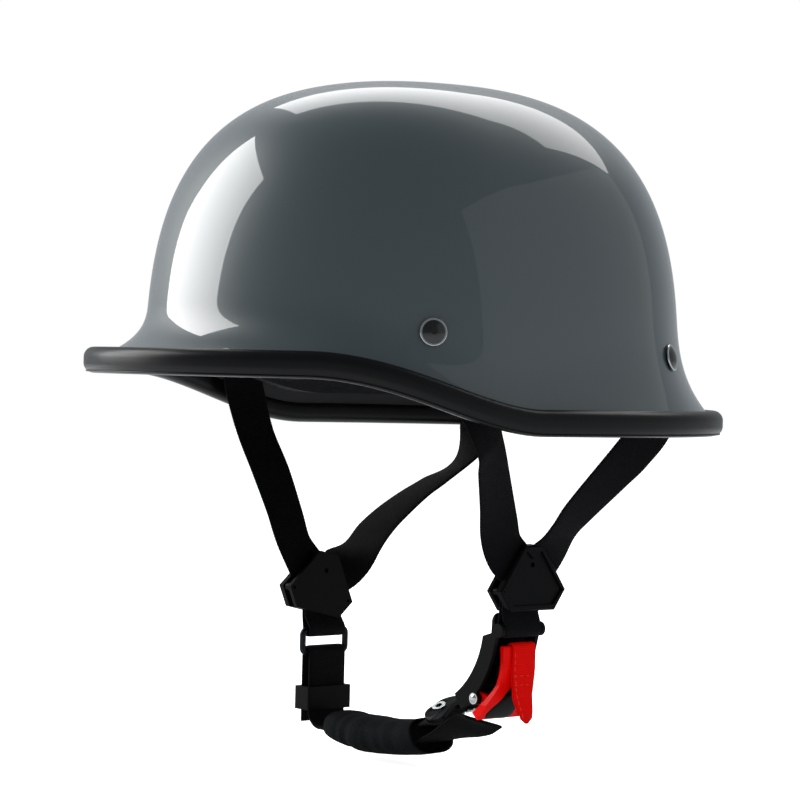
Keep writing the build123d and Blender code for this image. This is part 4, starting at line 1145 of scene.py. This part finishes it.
# How far the open end's lower edge reaches past its upper one, how suddenly, and how it is turned
LIP_REACH, LIP_POWER, LIP_TURN = 5.5 * MM, 12, 0.6
# The open cuff goes in this far, in millimetres, at this share of its size, and looks this way
CUFF_RINGS, CUFF_WAY = ((0.4, 0.93), (2.0, 0.86), (6.0, 0.8)), (0.94, 0, 0.34)
# Pads: their mesh's step, the pressure in their filling, the frames they swell for, and how far they may
PAD_STEP, PAD_PRESSURE, PAD_FRAMES, PAD_SWELL = 4 * MM, 4, 20, 1.6 * MM


class HelmetSleeveOperator(bpy.types.Operator):
    """Makes the padded, wrinkled sleeve on the chin web"""
    bl_idname = "helmet.sleeve"
    bl_label = "Chin sleeve"

    def execute(self, context):
        keys = np.array(SLEEVE_KEYS) * MM
        path = through_keys(np.column_stack([keys, 0 * keys[:, 0]]), count=120)[:, :2]
        line = thin_out(path, SLEEVE_STEP)
        way = unit(np.gradient(line, axis=0))
        up = np.stack([-way[:, 1], way[:, 0]], 1)
        t = np.linspace(0, 1, len(line))[:, None]
        turn = np.linspace(0, 2 * pi, SLEEVE_SECTION, endpoint=False)
        end = np.where(t < 0.5, GATHERED_END, OPEN_END)
        size = end + (1 - end) * np.sin(pi * t).clip(0) ** 0.5
        rng = np.random.default_rng(7)
        folds = [[rng.uniform(*limits) for limits in FOLD_LIMITS] for _ in range(FOLDS)]
        crease = sum(depth * np.exp(-(((t - at - lean * FOLD_LEAN * np.sin(turn - side)) / wide) ** 2))
                     * (0.5 + 0.5 * np.cos(turn - side)) for at, side, wide, depth, lean in folds)
        size = size * (1 - FOLD_DEPTH * crease)
        n = SLEEVE_HALF_WIDTH * size * blunt(np.cos(turn), SLEEVE_SQUARE)
        lift = SLEEVE_HALF_HEIGHT * size * blunt(np.sin(turn), SLEEVE_SQUARE)
        s, z = (line[:, k, None] + up[:, k, None] * lift for k in (0, 1))
        s = s + LIP_REACH * t ** LIP_POWER * (0.5 - 0.5 * np.sin(turn + LIP_TURN))
        points = np.stack(chin_spot(s, n, z), -1)
        cuff = points[-1]
        heart, inward = cuff.mean(0), -np.array(chin_way(*CUFF_WAY)) * MM
        rows = [*points, *(heart + (cuff - heart) * kept + inward * depth for depth, kept in CUFF_RINGS)]
        piece = mesh_piece("padded_chin_sleeve", np.concatenate(rows),
                           closed_faces(len(rows), SLEEVE_SECTION), "sleeve")
        recalculate(piece)
        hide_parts("chin_sleeve")
        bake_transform(piece)
        return {"FINISHED"}


class HelmetPadsOperator(bpy.types.Operator):
    """Sews the comfort pads"""
    bl_idname = "helmet.pads"
    bl_label = "Comfort pads"

    def execute(self, context):
        for node in ("brow_pad", "side_pad_left", "side_pad_right", "nape_pad", "crown_pad"):
            piece = copied_mesh(node, "padded_" + node, "pad")
            remesh = piece.modifiers.new("remesh", "REMESH")
            remesh.mode = "VOXEL"
            remesh.voxel_size = PAD_STEP
            keep_modifiers(piece)
            self.swell(piece)
            piece.data.shade_smooth()
            dress(piece, "root", "pad_cloth", node)
        return {"FINISHED"}

    def swell(self, piece):
        """Lets the cover swell over its filling, and keeps each point close to where it started."""
        scene = bpy.context.scene
        start = points_of(piece)
        cover = piece.modifiers.new("cover", "CLOTH")
        cover.settings.use_pressure = True
        cover.settings.uniform_pressure_force = PAD_PRESSURE
        cover.settings.effector_weights.gravity = 0
        cover.point_cache.frame_end = PAD_FRAMES
        for count in range(1, PAD_FRAMES + 1):
            scene.frame_set(count)
        keep_modifiers(piece)
        scene.frame_set(1)
        moved = points_of(piece) - start
        reach = np.linalg.norm(moved, axis=1, keepdims=True)
        move_points(piece, start + moved * np.minimum(1, PAD_SWELL / np.maximum(reach, 1e-9)))
        finer = piece.modifiers.new("finer", "SUBSURF")
        finer.levels = finer.render_levels = 1
        keep_modifiers(piece)


# Stage

# Half the floor's side, the paper's colour, and the tint of the even light
FLOOR_REACH, PAPER, AIR_TINT = 6.0, (0.9, 0.9, 0.9), (0.80, 0.86, 0.90, 1)
WHITE = (1, 1, 1, 1)
# Between these, the cosine of the turn away from the backdrop, a mirrored room goes from dark to bright
ROOM_EDGE, BACKDROP_EDGE = 0.35, 0.8
# The place that each soft box looks at, its azimuth and elevation in degrees, distance, span and brightness
SOFTBOXES = {
    "front_softbox": ((0.03, -0.108, 0.075), -51, 22, 1.45, (40, 44), 4.5),
    "crown_softbox": ((0.064, -0.01, 0.14), -137, 48, 1.4, (66, 27), 2.0),
    "side_softbox": ((0.1, 0.0, 0.07), 145, 12, 1.6, (74, 58), 0.18),
}


def sky_way(azimuth, elevation):
    """The way to a place round the helmet: azimuth from the front towards the wearer's left, in degrees."""
    turn, lift = radians(azimuth), radians(elevation)
    return Vector((sin(turn) * cos(lift), -cos(turn) * cos(lift), sin(lift)))


def softbox(name, target, azimuth, elevation, distance, span, glow):
    """A soft box that looks at the target. Its span is in degrees and its glow is its brightness."""
    lamp = bpy.data.lights.new(name, "AREA")
    lamp.shape = "RECTANGLE"
    lamp.size, lamp.size_y = (2 * distance * tan(radians(angle / 2)) for angle in span)
    lamp.energy = glow * 4 * lamp.size * lamp.size_y
    light = new_piece(name, lamp)
    way = sky_way(azimuth, elevation)
    light.location = Vector(target) + way * distance
    light.rotation_mode = "QUATERNION"
    light.rotation_quaternion = (-way).to_track_quat("-Z", "Y")


def seen_rays(tree):
    """One where a ray comes straight from the camera or through glass."""
    path = add(tree, "ShaderNodeLightPath")
    return add(tree, "ShaderNodeMath", {0: (path, "Is Camera Ray"), 1: (path, "Is Transmission Ray")},
               operation="MAXIMUM")


class HelmetStageOperator(bpy.types.Operator):
    """Sets the floor, the soft light and the photograph's camera"""
    bl_idname = "helmet.stage"
    bl_label = "Stage"

    def execute(self, context):
        stage = context.scene.helmet_stage
        self.place_camera(context.scene, stage)
        self.lay_floor(stage)
        self.fill_air(context.scene, stage)
        for name, settings in SOFTBOXES.items():
            softbox(name, *settings)
        context.scene.view_settings.view_transform = "Standard"
        return {"FINISHED"}

    def place_camera(self, scene, stage):
        """The camera of the photograph: its place, the way it looks, and its roll."""
        azimuth, roll = radians(stage.azimuth), radians(stage.roll)
        place = sky_way(stage.azimuth, stage.elevation) * stage.distance
        target = Vector((cos(azimuth), sin(azimuth), 0)) * stage.target_side
        target.z += stage.target_height
        forward = (target - place).normalized()
        right = forward.cross(Vector((0, 0, 1))).normalized()
        up = right.cross(forward)
        rolled = right * cos(roll) + up * sin(roll)
        upward = up * cos(roll) - right * sin(roll)
        data = bpy.data.cameras.new("photograph_camera")
        data.lens = stage.lens
        data.sensor_width = stage.sensor
        data.clip_start, data.clip_end = 0.05, 30
        camera = new_piece("photograph_camera", data)
        turn = Matrix((rolled, upward, -forward)).transposed().to_4x4()
        camera.matrix_world = Matrix.Translation(place + Vector((0, stage.offset, 0))) @ turn
        scene.camera = camera

    def lay_floor(self, stage):
        """White paper, rolled out flat: matt and bright, so that only the soft shadow shows on it."""
        mesh = bpy.data.meshes.new("studio_floor")
        corners = [(x * FLOOR_REACH, y * FLOOR_REACH, stage.floor_height)
                   for x, y in ((-1, -1), (1, -1), (1, 1), (-1, 1))]
        mesh.from_pydata(corners, [], [(0, 1, 2, 3)])
        paper, tree, surface = new_material("white_paper_floor", PAPER, Roughness=0.9, Specular_IOR_Level=0)
        strength = add(tree, "ShaderNodeMath", {0: (seen_rays(tree), 0), 1: stage.floor_glow},
                       operation="MULTIPLY")
        glow = add(tree, "ShaderNodeEmission", {"Color": WHITE, "Strength": (strength, 0)})
        add(tree, "ShaderNodeAddShader", {0: (surface, 0), 1: (glow, 0)},
            feeds=(0, tree.nodes["Material Output"], "Surface"))
        mesh.materials.append(paper)
        floor = new_piece("studio_floor", mesh)

    def fill_air(self, scene, stage):
        """Even light from all round, and a dim room with a bright backdrop in what is mirrored."""
        world = bpy.data.worlds.new("studio_air")
        scene.world = world
        world.use_nodes = True
        tree = world.node_tree
        plain = tree.nodes["Background"]
        plain.inputs["Color"].default_value = AIR_TINT
        place = add(tree, "ShaderNodeTexCoord")
        facing = add(tree, "ShaderNodeVectorMath",
                     {0: (place, "Generated"), 1: sky_way(stage.azimuth + 180, 0)}, operation="DOT_PRODUCT")
        room = add(tree, "ShaderNodeMapRange",
                   {"Value": (facing, "Value"), "From Min": ROOM_EDGE, "From Max": BACKDROP_EDGE,
                    "To Min": stage.room_dark, "To Max": stage.backdrop})
        rays = add(tree, "ShaderNodeLightPath")
        add(tree, "ShaderNodeMix", {0: (rays, "Is Glossy Ray"), 2: stage.air, 3: (room, 0)},
            feeds=(0, plain, "Strength"))
        white = add(tree, "ShaderNodeBackground", {"Color": WHITE, "Strength": 1.0})
        add(tree, "ShaderNodeMixShader", {0: (seen_rays(tree), 0), 1: (plain, 0), 2: (white, 0)},
            feeds=(0, tree.nodes["World Output"], "Surface"))


# Panel and order of work

class HelmetPanel(bpy.types.Panel):
    """Lists the helmet's sizes, colours and pieces"""
    bl_idname = "HELMET_PT_pieces"
    bl_label = "Helmet"
    bl_space_type = "VIEW_3D"
    bl_region_type = "UI"
    bl_category = "Helmet"

    def draw(self, context):
        for group in GROUPS:
            settings = getattr(context.scene, group)
            box = self.layout.box()
            for name in settings.__annotations__:
                box.prop(settings, name)
        for operator in OPERATORS:
            self.layout.operator(operator.bl_idname)


GROUPS = {
    "helmet_shell": HelmetShellSizes,
    "helmet_webbing": HelmetWebbingSizes,
    "helmet_colours": HelmetColours,
    "helmet_stage": HelmetStageSettings,
}
OPERATORS = (HelmetShellOperator, HelmetTrimOperator, HelmetInsideOperator, HelmetStrapsOperator,
             HelmetWebsOperator, HelmetTabOperator, HelmetSleeveOperator, HelmetPadsOperator,
             HelmetStageOperator)


def register():
    for kind in (*GROUPS.values(), *OPERATORS, HelmetPanel):
        bpy.utils.register_class(kind)
    for name, kind in GROUPS.items():
        setattr(bpy.types.Scene, name, PointerProperty(type=kind))


def unregister():
    for name in GROUPS:
        delattr(bpy.types.Scene, name)
    for kind in (HelmetPanel, *OPERATORS[::-1], *GROUPS.values()):
        bpy.utils.unregister_class(kind)


def main():
    register()
    for operator in OPERATORS:
        group, name = operator.bl_idname.split(".")
        getattr(getattr(bpy.ops, group), name)()


if __name__ == "__main__":
    main()
